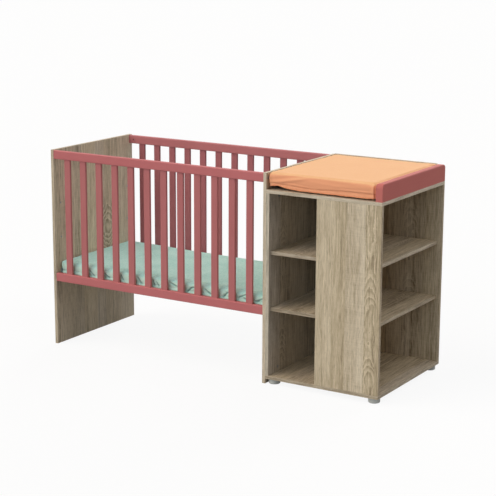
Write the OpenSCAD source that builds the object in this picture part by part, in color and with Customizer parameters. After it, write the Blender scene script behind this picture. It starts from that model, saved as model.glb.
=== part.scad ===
// Cot with barred sides and a changing unit bolted to its right end panel.
// Origin: middle of the footprint, on the floor. +X to the right, +Y to the rear, +Z up.

/* [Cot] */
// Clear length between the two end panels
inner_l = 1220; // [1100:1:1450]
// Depth of the end panels, front to rear
cot_d = 660; // [655:1:800]
// Height of the end panels
cot_h = 1000; // [960:1:1200]
// Thickness of every decor board
board_t = 16; // [15:1:22]

/* [Rails] */
// Height of each rail
rail_h = 42; // [38:1:60]
// Thickness of each rail, front to rear
rail_t = 25; // [22:0.5:27]
// Radius of the rails' long edges
rail_r = 4; // [1:0.5:6]
// How far the rails sit behind the end panels' edges
rail_inset = 1; // [0:0.5:3]
// How far the top rails sit below the end panels' top
rail_drop = 3; // [0:0.5:10]
// Height of the bottom rails' underside above the floor
bottom_rail_z = 329; // [250:1:345]

/* [Bars] */
// Number of bars in each side
bar_count = 12; // [8:1:15]
// Width of a bar, along the side
bar_w = 36; // [25:0.5:45]
// Thickness of a bar
bar_t = 13; // [10:0.5:16]
// Radius of the bars' long edges
bar_r = 3; // [1:0.5:4]
// Depth of the mortises in the rails
mortise_depth = 14; // [8:0.5:20]
// Clearance round a bar in its mortise
mortise_fit = 0.2; // [0.05:0.05:0.5]
// Free height left above a bar in its upper mortise
bar_play = 1; // [0.5:0.5:3]

/* [Rail bolts and dowels] */
// Diameter of the rail bolts
bolt_d = 6; // [5:0.5:8]
// Length of a rail bolt below its head
bolt_l = 50; // [45:1:55]
// Diameter of the rail bolts' flat head
bolt_head_d = 17; // [13:0.5:18]
// Thickness of the rail bolts' head
bolt_head_t = 2.2; // [1.5:0.1:3]
// How deep a bolt head lies below the panel's face
head_sink = 0.3; // [0.1:0.1:1]
// Clearance added to the diameter of a bolt's bore
bolt_fit = 1; // [0.4:0.1:1.5]
// Diameter of the barrel nuts
nut_d = 10; // [9:0.5:12]
// Length of a barrel nut
nut_l = 14; // [12:0.5:16]
// Distance of a barrel nut from the rail's end
nut_inset = 32; // [28:0.5:36]
// Diameter of the wooden dowels
dowel_d = 8; // [6:0.5:8]
// Length of a wooden dowel
dowel_l = 30; // [25:1:32]
// Depth of a dowel in a board
dowel_in_board = 11; // [8:0.5:12]
// How far a rail's dowel lies below its bolt
dowel_drop = 13; // [12:0.5:13.5]

/* [Base] */
// Height of the base frame's underside at its lowest setting
base_z = 332; // [320:1:345]
// Rise between two settings of the base
base_step = 176; // [150:1:190]
// Number of settings
base_settings = 3; // [2:1:3]
// Gap between the base and each end panel
base_gap = 7; // [6.5:0.1:9]
// Thickness of the base frame
frame_t = 22; // [18:0.5:28]
// Width of the base frame's members
frame_w = 30; // [25:1:45]
// Number of slats
slat_count = 10; // [8:1:13]
// Width of a slat
slat_w = 60; // [45:1:70]
// Thickness of a slat
slat_t = 8; // [6:0.5:12]
// Length of a slat's end that lies in its notch
slat_seat = 20; // [12:1:24]
// Clearance round a slat in its notch
slat_fit = 0.3; // [0.1:0.1:0.6]
// Length of the base frame's screws
frame_screw_l = 60; // [50:1:70]

/* [Base brackets] */
// Distance of the inserts from the panels' edges
insert_inset = 48; // [44:1:60]
// Outer diameter of a threaded insert
insert_d = 10; // [9:0.5:12]
// Length of a threaded insert
insert_l = 12; // [11.5:0.5:13]
// Height of an insert above the base frame's underside
insert_rise = 43; // [40:1:50]
// Sheet thickness of a bracket
bracket_t = 2.5; // [2:0.1:3]
// Width of a bracket
bracket_w = 25; // [20:1:30]
// Length of a bracket's lying leg
bracket_leg = 36; // [30:1:45]
// Height of the standing leg above its bolt
bracket_top = 13; // [10:1:18]
// Inner bend radius of a bracket
bracket_r = 2; // [1:0.5:4]
// Length of a bracket bolt below its head
bracket_bolt_l = 13; // [11:0.5:14]
// Diameter of a bracket bolt's head
bracket_head_d = 12; // [10:0.5:14]
// Thickness of a bracket bolt's head
bracket_head_t = 3; // [2:0.1:3.2]

/* [Soft parts] */
// Gap between the mattress and each end panel
mattress_end_gap = 10; // [7:0.5:15]
// Gap between the mattress and each side's rails
mattress_side_gap = 5; // [2:0.5:10]
// Thickness of the mattress
mattress_t = 70; // [50:1:120]
// Corner radius of the mattress
mattress_r = 25; // [15:1:80]
// Height of the changing mat
mat_t = 76; // [50:1:90]
// Corner radius of the changing mat
mat_r = 30; // [15:1:60]
// Gap between the changing mat and the boards round it
mat_gap = 2; // [1:0.5:6]
// How far the changing mat lies behind the top board's front edge
mat_inset = 12; // [0:1:20]

/* [Changer] */
// Width of the changer
changer_w = 588; // [520:1:700]
// How far the changer's rear lies before the end panel's rear edge
changer_setback = 4; // [0:0.5:30]
// Height of the changer's top board above the floor
changer_h = 923; // [850:1:950]
// Width of the front panel
front_panel_w = 325; // [250:1:360]
// Height of the lower shelves' underside
shelf_low_z = 351; // [250:1:400]
// Height of the upper shelves' underside
shelf_high_z = 619; // [500:1:700]
// How far the front shelves lie behind the front edges
front_shelf_inset = 15; // [0:1:40]
// How far the end shelves lie behind the right edges
end_shelf_inset = 20; // [0:1:40]
// Clearance between a shelf and the panels beside it
shelf_fit = 0.5; // [0.2:0.1:1]
// Height of the guards above the top board
guard_h = 80; // [60:1:100]
// Thickness of the right guard
guard_t = 33; // [20:1:40]
// Radius of the right guard's upper corners
guard_r = 20; // [8:1:35]
// Radius of the right guard's top edges
guard_edge_r = 6; // [1:0.5:9]
// Radius of the rear guard's right corner
rear_guard_r = 12; // [4:1:30]

/* [Feet] */
// Diameter of a foot
foot_d = 55; // [40:1:60]
// Height of a foot
foot_h = 24; // [20:1:30]
// Distance of a foot's middle from the changer's edges
foot_inset = 33; // [30:1:50]
// Radius of a foot's lower edge
foot_r = 4; // [1:0.5:6]
// Depth of a foot's screw in the bottom board
foot_screw_bite = 12; // [8:1:14]

/* [Carcass fasteners] */
// Length of a connecting screw
carcass_screw_l = 50; // [40:1:60]
// Diameter of a connecting screw's neck
carcass_neck_d = 7; // [6:0.1:7.5]
// Diameter of a connecting screw's thread
carcass_thread_d = 5; // [4:0.1:5.5]
// Diameter of a connecting screw's head
carcass_head_d = 10; // [8:0.1:11]
// Height of a connecting screw's head
carcass_head_h = 3.5; // [2.5:0.1:4.5]
// Distance of the connecting screws from a panel's ends
carcass_inset = 60; // [45:1:70]
// Diameter of a shelf pin
pin_d = 5; // [4:0.5:6]
// Length of a shelf pin, half of it in the panel
pin_l = 16; // [12:1:20]
// Distance of the shelf pins from a shelf's ends
pin_inset = 40; // [20:1:60]
// Diameter of the link bolts' sleeve
link_sleeve_d = 8; // [7.5:0.1:10]
// Diameter of the link bolts' heads
link_head_d = 14; // [11:0.5:16]
// Thickness of the link bolts' heads
link_head_t = 1.5; // [1:0.1:2]
// Distance of the link bolts from the changer's front and rear
link_inset = 87; // [80:1:120]
// Distance of the link bolts from the changer's top and bottom
link_rise = 24; // [18:1:40]
// Diameter of a wood screw
screw_d = 4; // [3:0.1:4.5]
// Diameter of a wood screw's countersunk head
screw_head_d = 8; // [6.5:0.1:9]
// Length of a wood screw
screw_l = 30; // [26:1:32]
// Spacing of the guard's wood screws
guard_screw_pitch = 240; // [150:1:260]
// Distance of the rear guard's dowels from its middle
guard_dowel_offset = 125; // [60:1:150]

/* [Hidden] */
$fn = 48;

// Lengths along X, left to right
total_l = 2 * board_t + inner_l + changer_w;
cot_x0 = -total_l / 2;
inner_x0 = cot_x0 + board_t;
inner_x1 = inner_x0 + inner_l;
cot_mid_x = (inner_x0 + inner_x1) / 2;
changer_x0 = inner_x1 + board_t;
changer_x1 = total_l / 2;
side_panel_x1 = changer_x0 + board_t;
divider_x0 = changer_x1 - front_panel_w;
divider_x1 = divider_x0 + board_t;

// Lengths along Y, front to rear
front_y = -cot_d / 2;
rear_y = cot_d / 2;
changer_d = cot_d - changer_setback;
changer_rear_y = front_y + changer_d;
changer_mid_y = front_y + changer_d / 2;
front_panel_y1 = front_y + board_t;
rear_panel_y0 = changer_rear_y - board_t;
rail_y = cot_d / 2 - rail_inset - rail_t / 2;

// Heights
top_rail_z = cot_h - rail_drop - rail_h;
bottom_board_z = foot_h;
carcass_z0 = bottom_board_z + board_t;
carcass_z1 = changer_h - board_t;
slat_top_z = base_z + frame_t;
insert_z = base_z + insert_rise;
foot_seat = foot_h + foot_screw_bite - screw_l;

// Bars
bar_gap = (inner_l - bar_count * bar_w) / (bar_count + 1);
bar_pitch = bar_w + bar_gap;
bar_z0 = bottom_rail_z + rail_h - mortise_depth;
bar_z1 = top_rail_z + mortise_depth - bar_play;

// Base
mattress_l = inner_l - 2 * mattress_end_gap;
mattress_w = cot_d - 2 * (rail_inset + rail_t + mattress_side_gap);
base_l = inner_l - 2 * base_gap;
base_x0 = cot_mid_x - base_l / 2;
slat_l = mattress_w - 2 * (frame_w - slat_seat);
slat_gap = (base_l - 2 * frame_w - slat_count * slat_w) / (slat_count + 1);
frame_screw_d = 5;
frame_screw_head_d = 9;
slat_r = 1.5;

// Bolts: where a rail bolt ends in the rail, its hexagon socket, a barrel nut's screwdriver slot
bolt_seat_x = bolt_head_t + head_sink - board_t;
bolt_tip_x = bolt_seat_x + bolt_l;
bolt_run_out = 4;
hex_d = 5;
hex_depth = 1.6;
nut_slot_w = 1.4;

// Link bolts: how far the sleeve and the thread reach past the joint between the boards
link_overlap = 6;
link_bolt_d = 5;

// The rear guard's left corner stays all but square, where it meets the cot's end panel
rear_guard_square_r = 0.5;

// Holes run this far past a face that they open in
over = 1;

oak = "#b9a88c";
terracotta = "#ab6469";
pine = "#dcc49a";
mint = "#b6d5c6";
peach = "#f8c397";
steel = "#a5a9ad";
grey_plastic = "#a0a6a7";
beech = "#cfa878";

FRONT_BARS = [for (i = [1 : bar_count]) str("front_bar_", i)];
REAR_BARS = [for (i = [1 : bar_count]) str("rear_bar_", i)];

// ---- Shapes that several parts share ----

// A box from its low corner to its high corner
module block(low, high) {
    translate(low)
        cube(high - low);
}

// A rectangle with round corners, centred on the origin
module round_rect(size, r) {
    square([size.x - 2 * r, size.y], center = true);
    square([size.x, size.y - 2 * r], center = true);
    for (sx = [-1, 1], sy = [-1, 1])
        translate([sx * (size.x / 2 - r), sy * (size.y / 2 - r)])
            circle(r);
}

// A board standing on its lower edge, whose upper corners are round: [left radius, right radius]
module round_top_rect(size, radii) {
    difference() {
        square(size);
        for (side = [0, 1])
            let (r = radii[side])
                translate([side * size.x, size.y])
                    mirror([side, 0])
                        translate([0, -r])
                            difference() {
                                translate([-over, 0])
                                    square([r + over, r + over]);
                                translate([r, 0])
                                    circle(r);
                            }
    }
}

// A round bar along X from x0 to x1
module x_cylinder(x0, x1, d) {
    translate([x0, 0, 0])
        rotate([0, 90, 0])
            cylinder(h = x1 - x0, d = d);
}

// A flat-headed bolt along +X, the underside of its head at the origin
module x_bolt(length, d, head_d, head_t) {
    x_cylinder(0, length, d);
    x_cylinder(-head_t, 0, head_d);
}

// A countersunk screw along +Z, its head's face at the origin
module countersunk_screw(length, d, head_d) {
    cylinder(h = length, d = d);
    cylinder(h = (head_d - d) / 2, d1 = head_d, d2 = d);
}

// A connecting screw along +Z, its head's face at the origin
module connecting_screw() {
    cylinder(h = carcass_screw_l, d = carcass_thread_d);
    cylinder(h = board_t + over, d = carcass_neck_d);
    cylinder(h = carcass_head_h, d = carcass_head_d);
}

// Places its children at the rails' ends: X into the cot from the panel's inner face,
// Y towards the inside of the cot, Z up from the middle of the rail's height.
module at_rail_ends(ends = [0, 1], sides = [0, 1], levels = [bottom_rail_z, top_rail_z]) {
    for (end = ends, side = sides, z = levels)
        translate([cot_mid_x + (end - 0.5) * inner_l, (2 * side - 1) * rail_y, z + rail_h / 2])
            mirror([end, 0, 0])
                mirror([0, side, 0])
                    children();
}

// Places its children at the inserts of the given settings, X into the cot
module at_inserts(ends = [0, 1], settings = [0 : base_settings - 1]) {
    for (end = ends, side = [-1, 1], setting = settings)
        translate([
            cot_mid_x + (end - 0.5) * inner_l,
            side * (cot_d / 2 - insert_inset),
            insert_z + setting * base_step
        ])
            mirror([end, 0, 0])
                children();
}

// Places its children at the link bolts, X from the changer into the cot's end panel
module at_link_bolts() {
    for (
        y = [front_y + link_inset, changer_rear_y - link_inset],
        z = [carcass_z0 + link_rise, carcass_z1 - link_rise]
    )
        translate([changer_x0, y, z])
            mirror([1, 0, 0])
                children();
}

// ---- Cot: end panels, rails and bars ----

module rail_bolt() {
    translate([bolt_seat_x, 0, 0])
        x_bolt(bolt_l, bolt_d, bolt_head_d, bolt_head_t);
}

module rail_bolt_bore() {
    x_cylinder(-board_t - over, bolt_tip_x + bolt_run_out, bolt_d + bolt_fit);
    x_cylinder(-board_t - over, bolt_seat_x, bolt_head_d + bolt_fit);
}

module rail_dowel() {
    translate([0, 0, -dowel_drop])
        x_cylinder(-dowel_in_board, dowel_l - dowel_in_board, dowel_d);
}

module insert_bore() {
    x_cylinder(-insert_l, over, insert_d);
}

module link_bore() {
    x_cylinder(-board_t - over, board_t + over, link_sleeve_d);
}

module end_panel(end) {
    x0 = end == 0 ? cot_x0 : inner_x1;
    color(oak)
        difference() {
            block([x0, front_y, 0], [x0 + board_t, rear_y, cot_h]);
            at_rail_ends(ends = [end]) {
                rail_bolt_bore();
                rail_dowel();
            }
            at_inserts(ends = [end])
                insert_bore();
            if (end == 1)
                at_link_bolts()
                    link_bore();
        }
}

// The mortises, open towards +Z at z = 0
module mortises(depth) {
    for (i = [0 : bar_count - 1])
        translate([inner_x0 + bar_gap + bar_w / 2 + i * bar_pitch, 0, -depth])
            linear_extrude(depth + over)
                round_rect([bar_w, bar_t] + 2 * mortise_fit * [1, 1], bar_r + mortise_fit);
}

// A rail with its underside at z. Its mortises face the other rail of its side.
module rail(side, level) {
    z = level == 0 ? bottom_rail_z : top_rail_z;
    color(terracotta)
        difference() {
            translate([inner_x0, (2 * side - 1) * rail_y, z + rail_h / 2])
                rotate([90, 0, 90])
                    linear_extrude(inner_l)
                        round_rect([rail_t, rail_h], rail_r);
            translate([0, (2 * side - 1) * rail_y, z + (1 - level) * rail_h])
                mirror([0, 0, level])
                    mortises(mortise_depth);
            at_rail_ends(sides = [side], levels = [z]) {
                rail_bolt_bore();
                rail_dowel();
                barrel_nut_bore();
            }
        }
}

module bar(side, i) {
    color(terracotta)
        translate([inner_x0 + bar_gap + bar_w / 2 + (i - 1) * bar_pitch, (2 * side - 1) * rail_y, bar_z0])
            linear_extrude(bar_z1 - bar_z0)
                round_rect([bar_w, bar_t], bar_r);
}

module barrel_nut_bore() {
    translate([nut_inset, -nut_l / 2, 0])
        rotate([-90, 0, 0])
            cylinder(h = rail_t, d = nut_d);
}

module barrel_nut() {
    difference() {
        translate([nut_inset, -nut_l / 2, 0])
            rotate([-90, 0, 0])
                cylinder(h = nut_l, d = nut_d);
        x_cylinder(nut_inset - nut_d, nut_inset + nut_d, bolt_d);
        translate([nut_inset, nut_l / 2, 0])
            cube([nut_d + over, 2 * nut_slot_w, nut_slot_w], center = true);
    }
}

module rail_bolts() {
    color(steel)
        at_rail_ends()
            difference() {
                rail_bolt();
                translate([head_sink - board_t, 0, 0])
                    rotate([0, 90, 0])
                        cylinder(h = 2 * hex_depth, d = hex_d, center = true, $fn = 6);
            }
}

module barrel_nuts() {
    color(steel)
        at_rail_ends()
            barrel_nut();
}

module guard_dowel() {
    translate([0, 0, -dowel_in_board])
        cylinder(h = dowel_l, d = dowel_d);
}

module at_guard_dowels() {
    for (side = [-1, 1])
        translate([
            (changer_x0 + changer_x1 - guard_t) / 2 + side * guard_dowel_offset,
            (rear_panel_y0 + changer_rear_y) / 2,
            changer_h
        ])
            children();
}

module wooden_dowels() {
    color(beech) {
        at_rail_ends()
            rail_dowel();
        at_guard_dowels()
            guard_dowel();
    }
}

module height_inserts() {
    color(steel)
        at_inserts()
            difference() {
                x_cylinder(-insert_l, 0, insert_d);
                x_cylinder(-insert_l - over, over, bolt_d);
            }
}

// ---- Base: brackets, slatted frame and mattress ----

// Side view of a bracket, its outer corner at the origin
module bracket_profile() {
    outer_r = bracket_r + bracket_t;
    translate([0, outer_r])
        square([bracket_t, bracket_t + insert_rise + bracket_top - outer_r]);
    translate([outer_r, 0])
        square([bracket_leg - outer_r, bracket_t]);
    translate([outer_r, outer_r])
        intersection() {
            difference() {
                circle(outer_r);
                circle(bracket_r);
            }
            translate([-outer_r, -outer_r])
                square(outer_r);
        }
}

module base_brackets() {
    color(steel)
        at_inserts(settings = [0])
            difference() {
                translate([0, bracket_w / 2, -insert_rise - bracket_t])
                    rotate([90, 0, 0])
                        linear_extrude(bracket_w)
                            bracket_profile();
                x_cylinder(-over, bracket_t + over, bolt_d + bolt_fit);
            }
}

module bracket_bolts() {
    color(steel)
        at_inserts(settings = [0])
            translate([bracket_t, 0, 0])
                mirror([1, 0, 0])
                    difference() {
                        x_bolt(bracket_bolt_l, bolt_d, bracket_head_d, bracket_head_t);
                        translate([-bracket_head_t, 0, 0])
                            rotate([0, 90, 0])
                                cylinder(h = 2 * hex_depth, d = hex_d, center = true, $fn = 6);
                    }
}

// Places its children at the slats, in the middle of a slat's underside
module at_slats() {
    for (i = [0 : slat_count - 1])
        translate([
            base_x0 + frame_w + slat_gap + slat_w / 2 + i * (slat_w + slat_gap),
            0,
            slat_top_z - slat_t
        ])
            children();
}

module slat() {
    translate([0, slat_l / 2, slat_t / 2])
        rotate([90, 0, 0])
            linear_extrude(slat_l)
                round_rect([slat_w, slat_t], slat_r);
}

module slat_notch() {
    linear_extrude(slat_t + over)
        square([slat_w, slat_l] + 2 * slat_fit * [1, 1], center = true);
}

module at_frame_corners() {
    for (end = [0, 1], side = [0, 1])
        translate([
            cot_mid_x + (2 * end - 1) * (base_l - frame_w) / 2,
            (2 * side - 1) * mattress_w / 2,
            base_z + frame_t / 2
        ])
            mirror([0, side, 0])
                rotate([-90, 0, 0])
                    children();
}

module frame_screw() {
    countersunk_screw(frame_screw_l, frame_screw_d, frame_screw_head_d);
}

module base_side_rails() {
    color(pine)
        difference() {
            for (side = [-1, 1])
                translate([base_x0, side * (mattress_w - frame_w) / 2 - frame_w / 2, base_z])
                    cube([base_l, frame_w, frame_t]);
            at_slats()
                slat_notch();
            at_frame_corners()
                frame_screw();
        }
}

module base_end_rails() {
    color(pine)
        difference() {
            for (end = [0, 1])
                translate([base_x0 + end * (base_l - frame_w), frame_w - mattress_w / 2, base_z])
                    cube([frame_w, mattress_w - 2 * frame_w, frame_t]);
            at_frame_corners()
                frame_screw();
        }
}

module base_slats() {
    color(pine)
        at_slats()
            slat();
}

module base_frame_screws() {
    color(steel)
        at_frame_corners()
            frame_screw();
}

module mattress() {
    color(mint)
        translate([cot_mid_x, 0, slat_top_z])
            linear_extrude(mattress_t)
                round_rect([mattress_l, mattress_w], mattress_r);
}

// ---- Changer: carcass ----

side_screw_sites = [
    for (y = [front_y + carcass_inset, changer_rear_y - carcass_inset])
        [changer_x0 + board_t / 2, y]
];
divider_screw_sites = [
    for (y = [front_panel_y1 + carcass_inset, rear_panel_y0 - carcass_inset])
        [divider_x0 + board_t / 2, y]
];
front_screw_sites = [
    for (x = [divider_x0 + carcass_inset, changer_x1 - carcass_inset])
        [x, front_y + board_t / 2]
];
rear_screw_sites = [
    for (x = [side_panel_x1 + carcass_inset, changer_x1 - carcass_inset])
        [x, rear_panel_y0 + board_t / 2]
];
all_screw_sites = concat(side_screw_sites, divider_screw_sites, front_screw_sites, rear_screw_sites);

// Connecting screws at the given places, down through the top board and up through the bottom board
module carcass_screws_at(sites) {
    for (site = sites) {
        translate([site.x, site.y, bottom_board_z])
            connecting_screw();
        translate([site.x, site.y, changer_h])
            mirror([0, 0, 1])
                connecting_screw();
    }
}

// Pins under the front shelves, across the faces of the side panel and the divider
module front_shelf_pins() {
    for (
        x = [side_panel_x1, divider_x0],
        y = [front_y + front_shelf_inset + pin_inset, rear_panel_y0 - pin_inset],
        z = [shelf_low_z, shelf_high_z]
    )
        translate([x, y, z - pin_d / 2])
            x_cylinder(-pin_l / 2, pin_l / 2, pin_d);
}

// Pins under the end shelves, across the faces of the front and rear panels
module end_shelf_pins() {
    for (
        x = [divider_x1 + pin_inset, changer_x1 - end_shelf_inset - pin_inset],
        y = [front_panel_y1, rear_panel_y0],
        z = [shelf_low_z, shelf_high_z]
    )
        translate([x, y, z - pin_d / 2])
            rotate([90, 0, 0])
                cylinder(h = pin_l, d = pin_d, center = true);
}

module changer_side_panel() {
    color(oak)
        difference() {
            block([changer_x0, front_y, carcass_z0], [side_panel_x1, changer_rear_y, carcass_z1]);
            carcass_screws_at(side_screw_sites);
            front_shelf_pins();
            at_link_bolts()
                link_bore();
        }
}

module changer_divider() {
    color(oak)
        difference() {
            block([divider_x0, front_panel_y1, carcass_z0], [divider_x1, rear_panel_y0, carcass_z1]);
            carcass_screws_at(divider_screw_sites);
            front_shelf_pins();
        }
}

module changer_front_panel() {
    color(oak)
        difference() {
            block([divider_x0, front_y, carcass_z0], [changer_x1, front_panel_y1, carcass_z1]);
            carcass_screws_at(front_screw_sites);
            end_shelf_pins();
        }
}

module changer_rear_panel() {
    color(oak)
        difference() {
            block([side_panel_x1, rear_panel_y0, carcass_z0], [changer_x1, changer_rear_y, carcass_z1]);
            carcass_screws_at(rear_screw_sites);
            end_shelf_pins();
        }
}

module changer_top_board() {
    color(oak)
        difference() {
            block([changer_x0, front_y, carcass_z1], [changer_x1, changer_rear_y, changer_h]);
            carcass_screws_at(all_screw_sites);
            at_guard_screws()
                wood_screw();
            at_guard_dowels()
                guard_dowel();
        }
}

module changer_bottom_board() {
    color(oak)
        difference() {
            block([changer_x0, front_y, bottom_board_z], [changer_x1, changer_rear_y, carcass_z0]);
            carcass_screws_at(all_screw_sites);
            at_feet()
                foot_screw();
        }
}

module carcass_screws() {
    color(steel)
        carcass_screws_at(all_screw_sites);
}

// ---- Changer: shelves ----

module front_shelf(z) {
    color(oak)
        block(
            [side_panel_x1 + shelf_fit, front_y + front_shelf_inset, z],
            [divider_x0 - shelf_fit, rear_panel_y0, z + board_t]
        );
}

module end_shelf(z) {
    color(oak)
        block(
            [divider_x1, front_panel_y1 + shelf_fit, z],
            [changer_x1 - end_shelf_inset, rear_panel_y0 - shelf_fit, z + board_t]
        );
}

module shelf_pins() {
    color(steel) {
        front_shelf_pins();
        end_shelf_pins();
    }
}

// ---- Changer: guards, mat, feet and what holds them ----

module right_guard() {
    color(terracotta)
        difference() {
            intersection() {
                translate([changer_x1 - guard_t, front_y, changer_h])
                    rotate([90, 0, 90])
                        linear_extrude(guard_t)
                            round_top_rect([changer_d, guard_h], [guard_r, guard_r]);
                translate([changer_x1 - guard_t, changer_rear_y, changer_h])
                    rotate([90, 0, 0])
                        linear_extrude(changer_d)
                            round_top_rect([guard_t, guard_h], [guard_edge_r, guard_edge_r]);
            }
            at_guard_screws()
                wood_screw();
        }
}

module rear_guard() {
    color(oak)
        difference() {
            translate([changer_x0, changer_rear_y, changer_h])
                rotate([90, 0, 0])
                    linear_extrude(board_t)
                        round_top_rect([changer_w - guard_t, guard_h], [rear_guard_square_r, rear_guard_r]);
            at_guard_dowels()
                guard_dowel();
        }
}

module changing_mat() {
    mat_w = changer_w - guard_t - 2 * mat_gap;
    mat_d = changer_d - board_t - mat_gap - mat_inset;
    color(peach)
        translate([changer_x0 + mat_gap + mat_w / 2, front_y + mat_inset + mat_d / 2, changer_h])
            linear_extrude(mat_t)
                round_rect([mat_w, mat_d], mat_r);
}

module at_feet() {
    for (
        x = [changer_x0 + foot_inset, changer_x1 - foot_inset],
        y = [front_y + foot_inset, changer_rear_y - foot_inset]
    )
        translate([x, y, 0])
            children();
}

module wood_screw() {
    countersunk_screw(screw_l, screw_d, screw_head_d);
}

module foot_screw() {
    translate([0, 0, foot_seat])
        wood_screw();
}

module at_guard_screws() {
    for (i = [-1 : 1])
        translate([changer_x1 - guard_t / 2, changer_mid_y + i * guard_screw_pitch, carcass_z1])
            children();
}

module foot_profile() {
    difference() {
        square([foot_d / 2, foot_h]);
        translate([foot_d / 2 - foot_r, 0])
            difference() {
                translate([0, -over])
                    square([foot_r + over, foot_r + over]);
                translate([0, foot_r])
                    circle(foot_r);
            }
    }
}

module feet() {
    color(grey_plastic)
        at_feet()
            difference() {
                rotate_extrude()
                    foot_profile();
                foot_screw();
                translate([0, 0, -over])
                    cylinder(h = foot_seat + over, d = screw_head_d + over);
            }
}

module wood_screws() {
    color(steel) {
        at_feet()
            foot_screw();
        at_guard_screws()
            wood_screw();
    }
}

// A bolt from inside the changer and a sleeve nut from inside the cot
module link_bolts() {
    color(steel)
        at_link_bolts() {
            translate([-board_t, 0, 0])
                x_bolt(board_t + link_overlap, link_bolt_d, link_head_d, link_head_t);
            difference() {
                union() {
                    x_cylinder(-link_overlap, board_t, link_sleeve_d);
                    x_cylinder(board_t, board_t + link_head_t, link_head_d);
                }
                x_cylinder(-link_overlap - over, board_t - over, link_bolt_d);
            }
        }
}

// ---- The nodes ----

end_panel(0);  // left_end_panel
end_panel(1);  // right_end_panel
rail(0, 1);  // front_top_rail
rail(0, 0);  // front_bottom_rail
rail(1, 1);  // rear_top_rail
rail(1, 0);  // rear_bottom_rail
for (i = [1 : bar_count]) {
    bar(0, i);
    bar(1, i);
}
rail_bolts();
barrel_nuts();
wooden_dowels();
height_inserts();
base_brackets();
bracket_bolts();
base_side_rails();
base_end_rails();
base_slats();
base_frame_screws();
mattress();
changer_side_panel();
changer_divider();
changer_front_panel();
changer_rear_panel();
changer_top_board();
changer_bottom_board();
front_shelf(shelf_low_z);  // front_shelf_lower
front_shelf(shelf_high_z);  // front_shelf_upper
end_shelf(shelf_low_z);  // end_shelf_lower
end_shelf(shelf_high_z);  // end_shelf_upper
shelf_pins();
carcass_screws();
link_bolts();
wood_screws();
right_guard();
rear_guard();
changing_mat();
feet();
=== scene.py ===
"""Looks of a barred cot with a changing unit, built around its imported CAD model."""

import logging
import math
from dataclasses import dataclass, field
from enum import Enum
from typing import Any, Callable, ClassVar, Optional, Sequence, Union

import bmesh
import bpy
import numpy as np
from mathutils import Matrix, Vector, noise
from mathutils.bvhtree import BVHTree


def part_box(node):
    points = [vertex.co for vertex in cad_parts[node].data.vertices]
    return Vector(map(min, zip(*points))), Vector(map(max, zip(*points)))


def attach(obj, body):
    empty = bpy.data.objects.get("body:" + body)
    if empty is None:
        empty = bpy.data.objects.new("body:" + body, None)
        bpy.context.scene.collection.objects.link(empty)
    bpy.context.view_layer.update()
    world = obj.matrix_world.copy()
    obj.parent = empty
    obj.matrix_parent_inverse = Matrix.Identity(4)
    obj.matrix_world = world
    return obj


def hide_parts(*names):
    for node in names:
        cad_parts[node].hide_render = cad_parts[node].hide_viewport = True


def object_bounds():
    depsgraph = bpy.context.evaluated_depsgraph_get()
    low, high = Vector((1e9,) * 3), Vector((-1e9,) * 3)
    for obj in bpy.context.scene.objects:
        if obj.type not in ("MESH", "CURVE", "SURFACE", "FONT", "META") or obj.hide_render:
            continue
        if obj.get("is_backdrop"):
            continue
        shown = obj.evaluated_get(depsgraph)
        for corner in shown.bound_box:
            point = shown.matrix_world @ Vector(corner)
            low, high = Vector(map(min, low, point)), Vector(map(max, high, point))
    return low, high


log = logging.getLogger("cot")
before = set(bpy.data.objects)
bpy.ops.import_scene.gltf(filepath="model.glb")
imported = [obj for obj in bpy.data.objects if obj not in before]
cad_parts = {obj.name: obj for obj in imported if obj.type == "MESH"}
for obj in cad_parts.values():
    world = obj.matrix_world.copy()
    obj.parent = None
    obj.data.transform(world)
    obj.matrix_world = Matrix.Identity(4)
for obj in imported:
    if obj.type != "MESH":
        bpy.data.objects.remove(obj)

MM = 0.001
# The point attribute that holds how much painted shade the folds of the covers take.
FOLD_SHADE = "crease"
# A surface faces an axis once this much of its normal points along it.
FACING = 0.7
Colour = tuple[float, float, float, float]
Place = tuple[float, float, float]
Values = np.ndarray
Socket = bpy.types.NodeSocket
Tree = bpy.types.NodeTree
Thing = bpy.types.Object
Feed = Union[float, Sequence[float], "Signal"]


class Axis(Enum):
    """The row frame's axes, as unit vectors."""

    X = (1.0, 0.0, 0.0)
    Y = (0.0, 1.0, 0.0)
    Z = (0.0, 0.0, 1.0)


class Body(Enum):
    """The CAD bodies that new pieces ride on."""

    MATTRESS = "mattress_body"
    MAT = "mat_body"


class Slot(Enum):
    """Names of material slots that the soft pieces hold; nothing here reads them."""

    SHEET = "mint_sheet"
    COVER = "peach_cover"


def srgb(red: float, green: float, blue: float) -> Colour:
    """Turns an sRGB colour into the linear one that a socket holds.

    Args:
        red, green, blue: the colour's parts, from 0 to 255.

    Returns:
        The linear colour, with full alpha.
    """
    parts = [part / 255 for part in (red, green, blue)]
    linear = [p / 12.92 if p <= 0.04045 else ((p + 0.055) / 1.055) ** 2.4 for p in parts]
    return (linear[0], linear[1], linear[2], 1.0)


def place(name: str, data: Any) -> Thing:
    """Adds a new object to the scene.

    Args:
        name: the object's name.
        data: its mesh, lamp or camera.

    Returns:
        The object, at the origin.
    """
    made = bpy.data.objects.new(name, data)
    bpy.context.scene.collection.objects.link(made)
    return made


# ---- Node trees ----


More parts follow.
